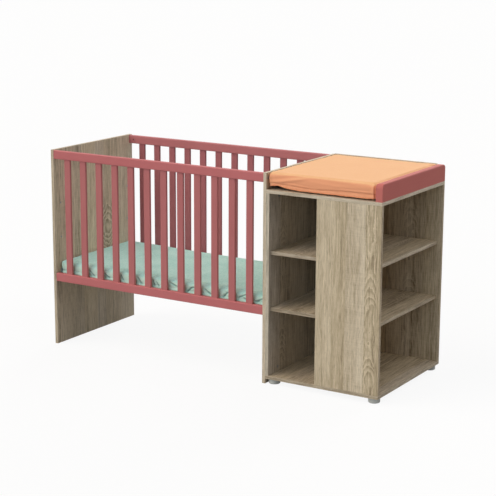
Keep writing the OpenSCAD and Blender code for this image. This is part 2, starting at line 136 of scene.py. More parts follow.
class Signal:
    """A node's output. Arithmetic on signals and numbers adds Math nodes to the tree."""

    def __init__(self, sketch: "Sketch", socket: Socket) -> None:
        """Takes an output of a node in a sketch's tree."""
        self.sketch = sketch
        self.socket = socket

    def __getitem__(self, name: str) -> "Signal":
        """Gives another output of the same node."""
        return Signal(self.sketch, self.socket.node.outputs[name])

    def __add__(self, other: Feed) -> "Signal":
        """Adds a value."""
        return self.sketch.math("ADD", self, other)

    def __radd__(self, other: float) -> "Signal":
        """Adds the signal to a number."""
        return self.sketch.math("ADD", other, self)

    def __sub__(self, other: Feed) -> "Signal":
        """Takes a value off."""
        return self.sketch.math("SUBTRACT", self, other)

    def __rsub__(self, other: float) -> "Signal":
        """Takes the signal off a number."""
        return self.sketch.math("SUBTRACT", other, self)

    def __mul__(self, other: Feed) -> "Signal":
        """Multiplies by a value."""
        return self.sketch.math("MULTIPLY", self, other)

    def __truediv__(self, other: Feed) -> "Signal":
        """Divides by a value."""
        return self.sketch.math("DIVIDE", self, other)

    def __abs__(self) -> "Signal":
        """Drops the sign."""
        return self.sketch.math("ABSOLUTE", self)

    def __gt__(self, limit: float) -> "Signal":
        """Gives 1 above a limit and 0 elsewhere."""
        return self.sketch.math("GREATER_THAN", self, limit)

    def clamped(self) -> "Signal":
        """Keeps the signal between 0 and 1."""
        return self.sketch.math("ADD", self, 0.0, clamp=True)


class Sketch:
    """Adds nodes to one tree. Every input takes a plain value or another node's signal."""

    def __init__(self, tree: Tree) -> None:
        """Starts on a tree, which may already hold nodes."""
        self.tree = tree

    def feed(self, socket: Socket, value: Feed) -> None:
        """Links a signal into an input, or writes a plain value there.

        Args:
            socket: the input.
            value: what it takes.
        """
        if isinstance(value, Signal):
            self.tree.links.new(value.socket, socket)
        else:
            socket.default_value = value

    def add(self, kind: str, *feeds: Feed, into: Optional[dict[Union[int, str], Feed]] = None,
            take: Union[int, str] = 0, **settings: Any) -> Signal:
        """Adds a node.

        Args:
            kind: the node's type.
            feeds: what its first inputs take, in order.
            into: what other inputs take, by their name or place.
            take: the name or place of the wanted output.
            settings: the node's own settings.

        Returns:
            The wanted output.
        """
        node = self.tree.nodes.new(kind)
        for name, value in settings.items():
            setattr(node, name, value)
        for key, value in [*enumerate(feeds), *(into or {}).items()]:
            self.feed(node.inputs[key], value)
        return Signal(self, node.outputs[take])

    def math(self, operation: str, *values: Feed, clamp: bool = False) -> Signal:
        """Adds a Math node."""
        return self.add("ShaderNodeMath", *values, operation=operation, use_clamp=clamp)

    def dot(self, first: Feed, second: Feed) -> Signal:
        """Adds a dot product."""
        return self.add("ShaderNodeVectorMath", first, second, take="Value", operation="DOT_PRODUCT")

    def scaled(self, vector: Feed, scale: Feed) -> Signal:
        """Multiplies a vector part by part."""
        return self.add("ShaderNodeVectorMath", vector, scale, operation="MULTIPLY")

    def vector(self, *parts: Feed) -> Signal:
        """Joins three values in a vector."""
        return self.add("ShaderNodeCombineXYZ", *parts)

    def split(self, vector: Feed) -> list[Signal]:
        """Splits a vector in its three parts."""
        parts = self.add("ShaderNodeSeparateXYZ", vector)
        return [parts[name] for name in "XYZ"]

    def noise(self, vector: Feed, scale: float = 1.0, detail: float = 2.0) -> Signal:
        """Adds a Noise texture and gives its value."""
        return self.add("ShaderNodeTexNoise", into={"Vector": vector, "Scale": scale, "Detail": detail})

    def span(self, value: Feed, low: Feed, high: Feed, to_low: Feed = 0.0, to_high: Feed = 1.0,
             smooth: bool = False) -> Signal:
        """Maps the range from low to high on the one from to_low to to_high, clamped at both ends."""
        return self.add("ShaderNodeMapRange", value, low, high, to_low, to_high, clamp=True,
                        interpolation_type="SMOOTHSTEP" if smooth else "LINEAR")

    def mix(self, share: Feed, first: Feed, second: Feed, blend: str = "MIX") -> Signal:
        """Mixes two colours. A Mix node holds them in its sockets 6 and 7, and the result in 2."""
        return self.add("ShaderNodeMix", share, into={6: first, 7: second}, take=2, data_type="RGBA",
                        blend_type=blend)

    def ramp(self, value: Feed, stops: Sequence[tuple[float, Colour]], steps: bool = False) -> Signal:
        """Adds a colour ramp.

        Args:
            value: where on the ramp the colour is read.
            stops: the place and colour of each stop.
            steps: whether the colour changes in steps.

        Returns:
            The ramp's colour.
        """
        result = self.add("ShaderNodeValToRGB", value)
        ramp = result.socket.node.color_ramp
        ramp.interpolation = "CONSTANT" if steps else "LINEAR"
        while len(ramp.elements) < len(stops):
            ramp.elements.new(1.0)
        while len(ramp.elements) > len(stops):
            ramp.elements.remove(ramp.elements[-1])
        for element, (at, colour) in zip(ramp.elements, stops):
            element.position = at
            element.color = colour
        return result

    def bump(self, height: Feed, distance: float, strength: float = 0.5,
             under: Optional[Signal] = None) -> Signal:
        """Adds a Bump node, over another where one is given."""
        into = {"Height": height, "Distance": distance, "Strength": strength}
        return self.add("ShaderNodeBump", into=into if under is None else {**into, "Normal": under})

    def group(self, tree: Tree, **inputs: Feed) -> Signal:
        """Places a shader group. The underscores of an input stand for spaces."""
        return self.add("ShaderNodeGroup", into=with_spaces(inputs), node_tree=tree)

    def give(self, **outputs: Signal) -> Tree:
        """Feeds the outputs of the group that the tree makes.

        Args:
            outputs: what each output takes, by its name.

        Returns:
            The tree.
        """
        end = self.tree.nodes.new("NodeGroupOutput")
        for name, value in outputs.items():
            self.feed(end.inputs[name], value)
        return self.tree


def with_spaces(values: dict[str, Any]) -> dict[str, Any]:
    """Turns the underscores of names into spaces."""
    return {name.replace("_", " "): value for name, value in values.items()}


def new_tree(name: str, inputs: dict[str, Any], outputs: Sequence[str],
             family: str = "Shader") -> tuple[Sketch, Signal]:
    """Makes an empty node group.

    Args:
        name: the group's name.
        inputs: each input's starting value by its name, or its kind where it has no value.
        outputs: the names of the outputs, which are values in a shader group.
        family: Shader or Geometry.

    Returns:
        A sketch of the group's tree, and its inputs.
    """
    tree = bpy.data.node_groups.new(name, family + "NodeTree")
    for label, start in inputs.items():
        kind = start if isinstance(start, str) else "Vector" if isinstance(start, tuple) else "Float"
        socket = tree.interface.new_socket(label, in_out="INPUT", socket_type="NodeSocket" + kind)
        if kind != start:
            socket.default_value = start
    result = "NodeSocketFloat" if family == "Shader" else "NodeSocketGeometry"
    for label in outputs:
        tree.interface.new_socket(label, in_out="OUTPUT", socket_type=result)
    sketch = Sketch(tree)
    return sketch, sketch.add("NodeGroupInput")


class Effects:
    """The shader groups that more than one finish uses, each built once."""

    def __init__(self) -> None:
        """Builds every group."""
        self.board_face = self._board_face()
        self.wood_figure = self._wood_figure()
        self.knit = self._knit()
        self.handling = self._handling()

    @staticmethod
    def _board_face() -> Tree:
        """Gives a place on a board as lengths across and along the grain, and marks its edging.

        On an edge the grain runs along the edge, as the edging strip's print does.

        Returns:
            The group.
        """
        sketch, given = new_tree("Board face", {
            "Position": (0, 0, 0), "Normal": (0, 0, 1), "Grain": (0, 0, 1), "Width": (0, 1, 0),
            "Thickness": (1, 0, 0), "Centre": (0, 0, 0), "Half size": (1, 1, 1)},
            ["Across", "Along", "Edge", "Joint"])
        off_centre = sketch.add("ShaderNodeVectorMath", given["Position"], given["Centre"],
                                operation="SUBTRACT")
        grain, width, thickness = (
            sketch.dot(off_centre, given[name]) for name in ("Grain", "Width", "Thickness"))
        on_face, on_end = (
            abs(sketch.dot(given["Normal"], given[name])) > FACING for name in ("Thickness", "Grain"))
        half_grain, half_width = (sketch.dot(given["Half size"], given[name]) for name in ("Grain", "Width"))
        to_outline = sketch.math("MINIMUM", half_grain - abs(grain), half_width - abs(width))
        joint = sketch.math("COMPARE", to_outline, 1.0 * MM, 0.18 * MM)
        return sketch.give(
            Across=sketch.span(on_face, 0, 1, thickness, width),
            Along=sketch.span(on_end, 0, 1, grain, width), Edge=1.0 - on_face, Joint=joint * on_face)

    @staticmethod
    def _wood_figure() -> Tree:
        """Draws printed oak: wavy streaks, saw marks, pores, and one plank of arched growth rings.

        Returns:
            The group.
        """
        sketch, given = new_tree("Wood figure", {
            "Across": 0.0, "Along": 0.0, "Seed": 0.0, "Figure at": 0.0, "Figure width": 0.06, "Figure": 1.0,
            "Swell": 0.0, "Saw marks": 0.3, "Coarseness": 1.0}, ["Tone", "Pores", "Height"])
        straight, along = given["Across"], given["Along"]

        def streaks(across: Signal, across_scale: float, along_scale: float, layer: float,
                    detail: float = 2.0) -> Signal:
            """Adds noise drawn out along the grain, centred on 0."""
            parts = (across * across_scale * given["Coarseness"], along * along_scale, given["Seed"] + layer)
            return sketch.noise(sketch.vector(*parts), detail=detail) - 0.5

        waves = streaks(straight, 7.0, 2.6, 3.1) * 0.022 + streaks(straight, 34.0, 14.0, 13.7) * 0.006
        across = straight + waves
        half_figure = given["Figure width"] * 0.5
        off, off_straight = (abs((at - given["Figure at"]) / half_figure) for at in (across, straight))
        wobble = streaks(straight, 16.0, 5.0, 7.7) * 1.2 + streaks(straight, 44.0, 24.0, 5.9) * 1.5
        ring = sketch.math("FRACT", given["Swell"] - sketch.math("POWER", off, 1.7) * 1.25 + along + wobble)
        late_wood = sketch.span(ring, 0.3, 0.75, 1.0, 0.0, smooth=True) * sketch.span(ring, 0.0, 0.1)
        pale_line = sketch.span(ring, 0.8, 0.97, smooth=True)
        in_plank = given["Figure"] * sketch.span(off_straight, 1.0, 0.95)
        figure = (0.05 - late_wood * 0.24 + pale_line * 0.17) * in_plank
        bands = streaks(across, 15.0, 0.5, 0.0, 1.0)
        wide = streaks(across, 75.0, 2.6, 11.3)
        fine = streaks(across, 190.0, 9.0, 17.9, 3.0)
        hair = streaks(across, 620.0, 26.0, 23.3, 3.0)
        saw = streaks(straight, 16.0, 300.0, 41.9)
        dark_streak = sketch.span(streaks(across, 26.0, 3.4, 51.3), 0.1, 0.22, smooth=True)
        pores = sketch.span(streaks(across, 900.0, 38.0, 31.7, 1.0), 0.13, 0.2)
        tone = 0.5 + bands * 0.3 + wide * 0.42 + fine * 0.78 + hair * 0.7 - dark_streak * 0.13 + figure
        height = 0.5 + fine * 0.7 + hair * 0.6 + saw * 0.3 - pores * 0.8 + figure * 0.6
        return sketch.give(Tone=(saw * given["Saw marks"] + tone).clamped(), Pores=pores, Height=height)

    @staticmethod
    def _knit() -> Tree:
        """Draws jersey on whichever of the three planes a surface faces most.

        Returns:
            The group.
        """
        sketch, given = new_tree("Knit", {"Position": (0, 0, 0), "Normal": (0, 0, 1), "Pitch": 1.3 * MM},
                                 ["Loops", "Mottle"])
        position, pitch = given["Position"], given["Pitch"]
        x, y, z = sketch.split(position)
        facing_x, _, facing_z = sketch.split(given["Normal"])
        wale_angle = sketch.span(abs(facing_x) > FACING, 0, 1, x, y) / pitch * (2 * math.pi)
        course_angle = sketch.span(abs(facing_z) > FACING, 0, 1, z, y) / pitch * (2.6 * math.pi)
        vee = abs(sketch.math("SINE", wale_angle * 0.5))
        course = sketch.math("SINE", vee * 2.4 + course_angle)
        loops = course * 0.3 + (sketch.math("SINE", wale_angle) * 0.2 + 0.5)
        broad = sketch.noise(position, 9.0, 3.0)
        cloud = sketch.noise(position, 110.0, 3.0)
        slub = sketch.noise(sketch.scaled(position, (70.0, 900.0, 900.0)))
        return sketch.give(Loops=loops, Mottle=slub * 0.3 + cloud * 0.4 + broad * 0.3)

    @staticmethod
    def _handling() -> Tree:
        """Gives the slow drift in gloss that use leaves, and fine scuffs.

        Returns:
            The group.
        """
        sketch, given = new_tree("Handling", {"Position": (0, 0, 0), "Roughness": 0.5, "Amount": 0.1},
                                 ["Roughness", "Scuffs"])
        drift = sketch.noise(given["Position"], 7.0, 3.0) - 0.5
        smudge = sketch.noise(given["Position"], 60.0, 4.0) - 0.5
        rough = (smudge * 0.6 + drift) * given["Amount"] + given["Roughness"]
        scuffs = sketch.noise(sketch.scaled(given["Position"], (260.0, 90.0, 420.0)), detail=4.0)
        return sketch.give(Roughness=rough.clamped(), Scuffs=sketch.span(scuffs, 0.62, 0.72))


# ---- Finishes ----


class Canvas(Sketch):
    """A new material's tree, with the shared groups and what a finish reads of its piece."""

    def __init__(self, name: str, effects: Effects, roughness: float, wear: float) -> None:
        """Makes the material.

        Args:
            name: the material's name.
            effects: the shared shader groups.
            roughness: how rough the surface is on average.
            wear: how far handling makes that drift.
        """
        self.material = bpy.data.materials.new(name)
        self.material.use_nodes = True
        super().__init__(self.material.node_tree)
        self.effects = effects
        self.position = self.add("ShaderNodeTexCoord", take="Object")
        self.handling = self.group(effects.handling, Position=self.position, Roughness=roughness, Amount=wear)

    def normal(self) -> Signal:
        """Gives the surface's normal."""
        return self.add("ShaderNodeNewGeometry", take="Normal")


@dataclass(frozen=True)
class Finish:
    """What every finish shares: a name, and a Principled shader that wear has touched."""

    name: str
    ROUGHNESS: ClassVar[float] = 0.5
    WEAR: ClassVar[float] = 0.12

    def material(self, effects: Effects) -> bpy.types.Material:
        """Makes the finish's material.

        Args:
            effects: the shared shader groups.

        Returns:
            The material.
        """
        canvas = Canvas(self.name, effects, self.ROUGHNESS, self.WEAR)
        shader = canvas.tree.nodes["Principled BSDF"]
        inputs = {"Roughness": canvas.handling["Roughness"], **self.surface(canvas)}
        for name, value in inputs.items():
            canvas.feed(shader.inputs[name], value)
        return canvas.material

    def surface(self, canvas: Canvas) -> dict[str, Feed]:
        """Draws the surface, and gives what the shader's inputs take by their names."""
        raise NotImplementedError


@dataclass(frozen=True)
class Plank:
    """One printed plank of a board: where it starts, as a share of the width, and how it looks."""

    start: float
    tone: float = 0.0
    warmth: float = 0.3
    saw: float = 0.3


@dataclass(frozen=True)
class OakDecor(Finish):
    """A board's oak-effect laminate, with edging strips along its edges.

    The figure is the plank with arched growth rings: its place is measured across the board from
    its middle, and its run along the board likewise, in metres. A swell is a stretch along the
    board that the rings crowd into: where it starts and ends, and how many rings it takes.
    """

    node: str
    grain: Axis = Axis.Z
    width: Axis = Axis.Y
    thickness: Axis = Axis.X
    seed: float = 0.0
    planks: tuple[Plank, ...] = ()
    figure_at: float = 0.0
    figure_width: float = 0.07
    figure: float = 1.0
    figure_run: tuple[float, float] = (-1.0, 1.0)
    figure_fade: float = 0.06
    swells: tuple[Place, ...] = ((0.28, 0.1, 5.0), (-0.2, -0.4, 5.0))
    dark: Colour = srgb(118, 102, 84)
    middle: Colour = srgb(195, 179, 156)
    light: Colour = srgb(232, 218, 198)
    warm: Colour = srgb(255, 251, 238)
    joint: Colour = srgb(128, 112, 94)
    edging: float = -0.04
    ROUGHNESS: ClassVar[float] = 0.55

    def dealt_planks(self, width: float) -> tuple[Plank, ...]:
        """Deals planks of random widths and tones across a board.

        Args:
            width: the board's width in metres.

        Returns:
            The planks, from the board's low side.
        """
        rng = np.random.default_rng(int(self.seed * 10))
        planks = []
        start = -rng.uniform(0.0, 0.06)
        while start < width:
            planks.append(Plank(max(0.0, start / width), rng.uniform(-0.07, 0.07), rng.uniform(0.0, 0.8),
                                rng.uniform(0.1, 0.5)))
            start += rng.uniform(0.06, 0.15)
        return tuple(planks)

    def _plank_values(self, canvas: Canvas, across: Signal, width: float) -> list[Signal]:
        """Looks up the plank at each place.

        Args:
            canvas: the material's tree.
            across: the place across the board.
            width: the board's width in metres.

        Returns:
            The plank's tone, its warmth and its saw marks.
        """
        stops = [(plank.start, (plank.tone + 0.5, plank.warmth, plank.saw, 1.0))
                 for plank in self.planks or self.dealt_planks(width)]
        looked_up = canvas.ramp(canvas.span(across, -width / 2, width / 2), stops, steps=True)
        parts = canvas.add("ShaderNodeSeparateColor", looked_up)
        return [parts["Red"] - 0.5, parts["Green"], parts["Blue"]]

    def surface(self, canvas: Canvas) -> dict[str, Feed]:
        """Prints the planks, the figure and the edging."""
        low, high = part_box(self.node)
        face = canvas.group(
            canvas.effects.board_face, Position=canvas.position, Normal=canvas.normal(),
            Grain=self.grain.value, Width=self.width.value, Thickness=self.thickness.value,
            Centre=(low + high) / 2, Half_size=(high - low) / 2)
        across, along, edge = face["Across"], face["Along"], face["Edge"]
        swell = sum(
            canvas.span(along, start, end, 0.0, rings, smooth=True) for start, end, rings in self.swells)
        tone, warmth, saw = self._plank_values(canvas, across, (high - low).dot(Vector(self.width.value)))
        first, last = self.figure_run
        fade_in = canvas.span(along, first, first + self.figure_fade, 0.0, self.figure, smooth=True)
        fade_out = canvas.span(along, last, last - self.figure_fade, smooth=True)
        wood = canvas.group(
            canvas.effects.wood_figure, Across=across, Along=along, Seed=self.seed, Swell=swell,
            Figure_at=self.figure_at, Figure_width=self.figure_width, Saw_marks=saw * 0.5,
            Figure=(1.0 - edge) * (fade_in * fade_out))
        shifted = edge * self.edging + (wood["Tone"] + tone)
        colour = canvas.ramp(shifted, [(0.1, self.dark), (0.5, self.middle), (0.88, self.light)])
        colour = canvas.mix(warmth, colour, canvas.mix(1.0, colour, self.warm, "MULTIPLY"))
        colour = canvas.mix(wood["Pores"] * 0.45, colour, self.dark)
        colour = canvas.mix(face["Joint"] * 0.6, colour, self.joint)
        return {"Base Color": colour, "Specular IOR Level": 0.25,
                "Normal": canvas.bump(wood["Height"], 0.25 * MM)}


@dataclass(frozen=True)
class BareWood(Finish):
    """Planed wood with no paint, its grain along one axis."""

    grain: Axis
    across: Axis
    dark: Colour
    light: Colour
    ROUGHNESS: ClassVar[float] = 0.6
    WEAR: ClassVar[float] = 0.1

    def surface(self, canvas: Canvas) -> dict[str, Feed]:
        """Draws the grain. The third axis takes a share of the streaks, so its faces have them too."""
        across = [a + 0.37 * (1 - a - g) for a, g in zip(self.across.value, self.grain.value)]
        wood = canvas.group(
            canvas.effects.wood_figure, Across=canvas.dot(canvas.position, across), Seed=4.0,
            Along=canvas.dot(canvas.position, self.grain.value), Figure=0.0, Coarseness=0.5)
        colour = canvas.mix(wood["Tone"], self.dark, self.light)
        colour = canvas.mix(wood["Pores"] * 0.2, colour, self.dark)
        return {"Base Color": colour, "Normal": canvas.bump(wood["Height"], 0.3 * MM, 0.6)}


@dataclass(frozen=True)
class SatinPaint(Finish):
    """Sprayed satin paint on wood: the grain shows faintly through it as relief."""

    colour: Colour
    shade: Colour
    grain: Axis
    gloss: float = 0.22
    ROUGHNESS: ClassVar[float] = 0.56

    def surface(self, canvas: Canvas) -> dict[str, Feed]:
        """Sprays the paint over the grain."""
        stretch = [14.0 if part else 420.0 for part in self.grain.value]
        telegraphed = canvas.noise(canvas.scaled(canvas.position, stretch), detail=3.0)
        mist = canvas.noise(canvas.position, 1400.0, 1.0)
        share = telegraphed * 0.35 + canvas.noise(canvas.position, 5.0) * 0.65
        return {"Base Color": canvas.mix(canvas.span(share, 0.3, 0.72), self.shade, self.colour),
                "Specular IOR Level": self.gloss,
                "Normal": canvas.bump(mist, 0.03 * MM, under=canvas.bump(telegraphed, 0.12 * MM))}


@dataclass(frozen=True)
class JerseyCloth(Finish):
    """Knitted cotton, its loops too fine to see from a step away.

    The side colour is painted shade, darker than the top's, that upright faces take, and the fold colour is
    painted shade deep in the folds.
    """

    colour: Colour
    shade: Colour
    side: Optional[Colour] = None
    painted_fold_shade: Optional[Colour] = None
    pitch: float = 1.5 * MM
    sheen: float = 0.25
    ROUGHNESS: ClassVar[float] = 0.85
    WEAR: ClassVar[float] = 0.08

    def surface(self, canvas: Canvas) -> dict[str, Feed]:
        """Knits the cloth."""
        normal = canvas.normal()
        knit = canvas.group(canvas.effects.knit, Position=canvas.position, Normal=normal, Pitch=self.pitch)
        share = (knit["Loops"] - 0.5) * 0.25 + canvas.span(knit["Mottle"], 0.38, 0.62)
        colour = canvas.mix(share.clamped(), self.shade, self.colour)
        # Painted shade: upright faces take the side colour, darker than the top's, for the light they miss.
        if self.side is not None:
            top_over_side_shade = canvas.span(canvas.split(normal)[2], 0.15, 0.9, 0.3, 1.0, smooth=True)
            colour = canvas.mix(top_over_side_shade, self.side, colour)
        # Painted shade: points deep in a fold take the fold colour.
        if self.painted_fold_shade is not None:
            crease = canvas.add("ShaderNodeAttribute", take="Fac", attribute_name=FOLD_SHADE)
            colour = canvas.mix(canvas.span(crease, 0.1, 1.1, 0.0, 0.7, smooth=True), colour, self.painted_fold_shade)
        return {"Base Color": colour, "Specular IOR Level": 0.2, "Sheen Weight": self.sheen,
                "Sheen Roughness": 0.5, "Normal": canvas.bump(knit["Loops"], 0.2 * MM)}


@dataclass(frozen=True)
class ZincSteel(Finish):
    """Bright zinc plate on steel."""

    colour: Colour = srgb(196, 199, 203)
    shade: Colour = srgb(158, 160, 160)
    ROUGHNESS: ClassVar[float] = 0.34
    WEAR: ClassVar[float] = 0.2

    def surface(self, canvas: Canvas) -> dict[str, Feed]:
        """Plates the steel."""
        bloom = canvas.span(canvas.noise(canvas.position, 160.0, 4.0), 0.35, 0.65)
        return {"Base Color": canvas.mix(bloom, self.shade, self.colour), "Metallic": 1.0,
                "Normal": canvas.bump(canvas.noise(canvas.position, 1600.0), 0.02 * MM)}


@dataclass(frozen=True)
class MouldedPlastic(Finish):
    """Matt moulded plastic with a fine spark-eroded texture."""

    colour: Colour
    shade: Colour
    WEAR: ClassVar[float] = 0.15

    def surface(self, canvas: Canvas) -> dict[str, Feed]:
        """Moulds the plastic and scuffs it."""
        cloud = canvas.span(canvas.noise(canvas.position, 45.0, 3.0), 0.3, 0.7)
        colour = canvas.mix(cloud, self.shade, self.colour)
        return {"Base Color": canvas.mix(canvas.handling["Scuffs"] * 0.2, colour, self.shade),
                "Normal": canvas.bump(canvas.noise(canvas.position, 2200.0), 0.05 * MM, 0.6)}


# ---- Geometry trees ----


class Trims:
    """The Geometry Nodes trees of the covers' hems, each built once."""

    def __init__(self) -> None:
        """Builds both trees."""
        self.stitch_row = self._stitch_row()
        self.gathered_band = self._gathered_band()

    @staticmethod
    def _path(sketch: Sketch, line: Signal, step: Feed) -> Signal:
        """Turns a line of edges into a curve with points at equal steps."""
        curve = sketch.add("GeometryNodeMeshToCurve", into={"Mesh": line})
        return sketch.add("GeometryNodeResampleCurve", into={"Curve": curve, "Length": step}, mode="LENGTH")

    @staticmethod
    def _dressed(sketch: Sketch, trim: Signal, material: Signal) -> Tree:
        """Ends a tree: makes its instances real and gives them their material.

        Args:
            sketch: the tree's sketch.
            trim: the geometry so far.
            material: the tree's material input.

        Returns:
            The tree.
        """
        real = sketch.add("GeometryNodeRealizeInstances", trim)
        return sketch.give(
            Trim=sketch.add("GeometryNodeSetMaterial", into={"Geometry": real, "Material": material}))

    def _stitch_row(self) -> Tree:
        """Sets a row of stitches along a line.

        Returns:
            The tree.
        """
        sketch, given = new_tree("Stitch row", {
            "Line": "Geometry", "Stitch length": 3 * MM, "Stitch pitch": 4.5 * MM,
            "Thread radius": 0.5 * MM, "Material": "Material"}, ["Trim"], "Geometry")
        radius = given["Thread radius"]
        tangent = sketch.add("GeometryNodeInputTangent")
        bead = sketch.add("GeometryNodeMeshUVSphere", into={"Segments": 6, "Rings": 4, "Radius": 1.0})
        placed = sketch.add("GeometryNodeInstanceOnPoints", into={
            "Points": self._path(sketch, given["Line"], given["Stitch pitch"]),
            "Instance": sketch.add("GeometryNodeSetShadeSmooth", bead),
            "Rotation": sketch.add("FunctionNodeAlignRotationToVector", into={"Vector": tangent}, axis="Z"),
            "Scale": sketch.vector(radius, radius, given["Stitch length"] * 0.5)})
        return self._dressed(sketch, placed, given["Material"])

    def _gathered_band(self) -> Tree:
        """Sweeps a soft band along a line and gathers it.

        Returns:
            The tree.
        """
        sketch, given = new_tree("Gathered band", {
            "Line": "Geometry", "Band height": 12 * MM, "Band thickness": 3 * MM, "Gather depth": 2 * MM,
            "Gather pitch": 12 * MM, "Seed": 1.0, "Material": "Material"}, ["Trim"], "Geometry")
        pitch = given["Gather pitch"]
        path = self._path(sketch, given["Line"], pitch / 4.0)
        upright = sketch.add("GeometryNodeSetCurveNormal", into={"Curve": path}, mode="Z_UP")
        circle = sketch.add("GeometryNodeCurvePrimitiveCircle", into={"Resolution": 12, "Radius": 0.5},
                            mode="RADIUS")
        profile = sketch.add("GeometryNodeTransform", into={
            "Geometry": circle, "Scale": sketch.vector(given["Band height"], given["Band thickness"], 1.0)})
        swept = sketch.add("GeometryNodeCurveToMesh", into={"Curve": upright, "Profile Curve": profile})
        squeezed = sketch.scaled(sketch.add("GeometryNodeInputPosition"), (1.0, 1.0, 0.25))
        fineness = sketch.math("DIVIDE", 1.0, pitch)
        wave = sketch.add("ShaderNodeTexNoise", noise_dimensions="4D", into={
            "Vector": squeezed, "W": given["Seed"], "Scale": fineness, "Detail": 1.0})
        push = (wave - 0.5) * (given["Gather depth"] * 4.0)
        offset = sketch.add("ShaderNodeVectorMath", sketch.add("GeometryNodeInputNormal"),
                            into={"Scale": push}, operation="SCALE")
        moved = sketch.add("GeometryNodeSetPosition", into={"Geometry": swept, "Offset": offset})
        return self._dressed(sketch, sketch.add("GeometryNodeSetShadeSmooth", moved), given["Material"])


def grow(name: str, line: Sequence[Vector], tree: Tree, values: dict[str, Any]) -> Thing:
    """Runs a geometry tree on a closed line and keeps the result as a plain mesh.

    Args:
        name: the new object's name.
        line: the points of the line, in the row frame.
        tree: the geometry tree.
        values: the tree's inputs by name.

    Returns:
        The new object, at the origin.
    """
    count = len(line)
    path = bpy.data.meshes.new(name + "_line")
    path.from_pydata([tuple(p) for p in line], [(i, (i + 1) % count) for i in range(count)], [])
    source = place(name + "_line", path)
    modifier = source.modifiers.new("Geometry", "NODES")
    modifier.node_group = tree
    for item in tree.interface.items_tree:
        if item.item_type == "SOCKET" and item.in_out == "INPUT" and item.name in values:
            modifier[item.identifier] = values[item.name]
    graph = bpy.context.evaluated_depsgraph_get()
    mesh = bpy.data.meshes.new_from_object(source.evaluated_get(graph), depsgraph=graph)
    mesh.name = name
    bpy.data.objects.remove(source)
    bpy.data.meshes.remove(path)
    return place(name, mesh)


# ---- Soft pieces ----


@dataclass(frozen=True)
class Fold:
    """A fold in a cover's side: a soft groove with raised shoulders, which fades towards its ends.

    Its place is how far round the sides it lies from the front left corner, and its level is its
    height above the block's bottom. These, its length, width and depth are in millimetres. The
    bend curves it, in one over metres. A depth below 0 makes a ridge.
    """

    at: float
    level: float
    slope: float
    length: float
    width: float
    depth: float
    bend: float = 0.0

    def offset(self, round_way: Values, height: Values) -> Values:
        """Gives how far each point moves outwards.

        Args:
            round_way: how far round the sides each point lies, in metres.
            height: each point's height above the bottom, in metres.

        Returns:
            One distance in metres for each point, below 0 in a groove.
        """
        ahead = round_way / MM - self.at
        above = height / MM - self.level
        steep = math.hypot(1.0, self.slope)
        across = (above - self.slope * ahead - self.bend * MM * ahead * ahead) / (steep * self.width)
        along = (ahead + self.slope * above) / (steep * self.length / 2)
        return -self.depth * MM * (1 - 0.8 * across * across) * np.exp(-across * across - along ** 4)


@dataclass
class Skin:
    """A cover's points: their places, how far round the sides and how high above the bottom each
    lies, and how much each belongs to the sides and to the top."""

    places: Values
    round_way: Values
    height: Values
    upright: Values
    top: Values


def read_points(mesh: bpy.types.Mesh) -> tuple[Values, Values]:
    """Reads a mesh's points.

    Args:
        mesh: the mesh.

    Returns:
        The points and their normals, one a row.
    """
    rows = [np.empty(len(mesh.vertices) * 3) for _ in range(2)]
    for name, values in zip(("co", "normal"), rows):
        mesh.vertices.foreach_get(name, values)
    return rows[0].reshape(-1, 3), rows[1].reshape(-1, 3)


def write_points(mesh: bpy.types.Mesh, places: Values) -> None:
    """Writes a mesh's points."""
    mesh.vertices.foreach_set("co", places.astype(np.float32).ravel())
    mesh.update()


def ease(share: Values) -> Values:
    """Clamps a share to 0 and 1, and eases it at both ends."""
    share = np.clip(share, 0, 1)
    return share * share * (3 - 2 * share)


def hump(value: Values, middle: Union[float, Values], width: float) -> Values:
    """Gives a smooth hump of height 1 round a middle."""
    return np.exp(-((value - middle) / width) ** 2)


def below(value: Values, limit: Union[float, Values], width: float) -> Values:
    """Gives 1 well below a limit and 0 well above it."""
    return 1 / (1 + np.exp((value - limit) / width))


def ripple(places: Values, scale: float, seed: float) -> Values:
    """Gives smooth noise from -1 to 1 at each point."""
    shift = Vector((seed, 2 * seed, 3 * seed))
    return np.array([noise.noise(Vector(p) * scale + shift) for p in places])


def side_direction(x: float, y: float, half: Vector, blend: float = 40 * MM) -> Vector:
    """Gives the outward direction of the side that a plan place belongs to.

    Args:
        x, y: the place, from the block's middle.
        half: half the block's size.
        blend: how far from a corner the direction starts to turn.

    Returns:
        A level vector of length 1.
    """
    over = [max(0.0, abs(part) - (reach - blend)) / blend for part, reach in ((x, half.x), (y, half.y))]
    return Vector((math.copysign(over[0], x), math.copysign(over[1], y), 0.0)).normalized()


def rounded_outline(centre: Vector, half: Vector, radius: float, step: float) -> list[tuple[float, float]]:
    """Draws a rectangle with round corners.

    Args:
        centre: its middle.
        half: half its size.
        radius: the radius of its corners.
        step: the distance between points on its sides.

    Returns:
        The outline's points, at about equal steps.
    """
    corners = []
    arcs = 8
    for sign_x, sign_y, first in ((1, 1, 0.0), (-1, 1, 0.5), (-1, -1, 1.0), (1, -1, 1.5)):
        for i in range(arcs + 1):
            angle = math.pi * (first + i / (2 * arcs))
            corners.append((centre.x + sign_x * (half.x - radius) + radius * math.cos(angle),
                            centre.y + sign_y * (half.y - radius) + radius * math.sin(angle)))
    points = []
    for (x, y), (to_x, to_y) in zip(corners, corners[1:] + corners[:1]):
        count = max(1, round(math.hypot(to_x - x, to_y - y) / step))
        points += [(x + (to_x - x) * k / count, y + (to_y - y) * k / count) for k in range(count)]
    return points


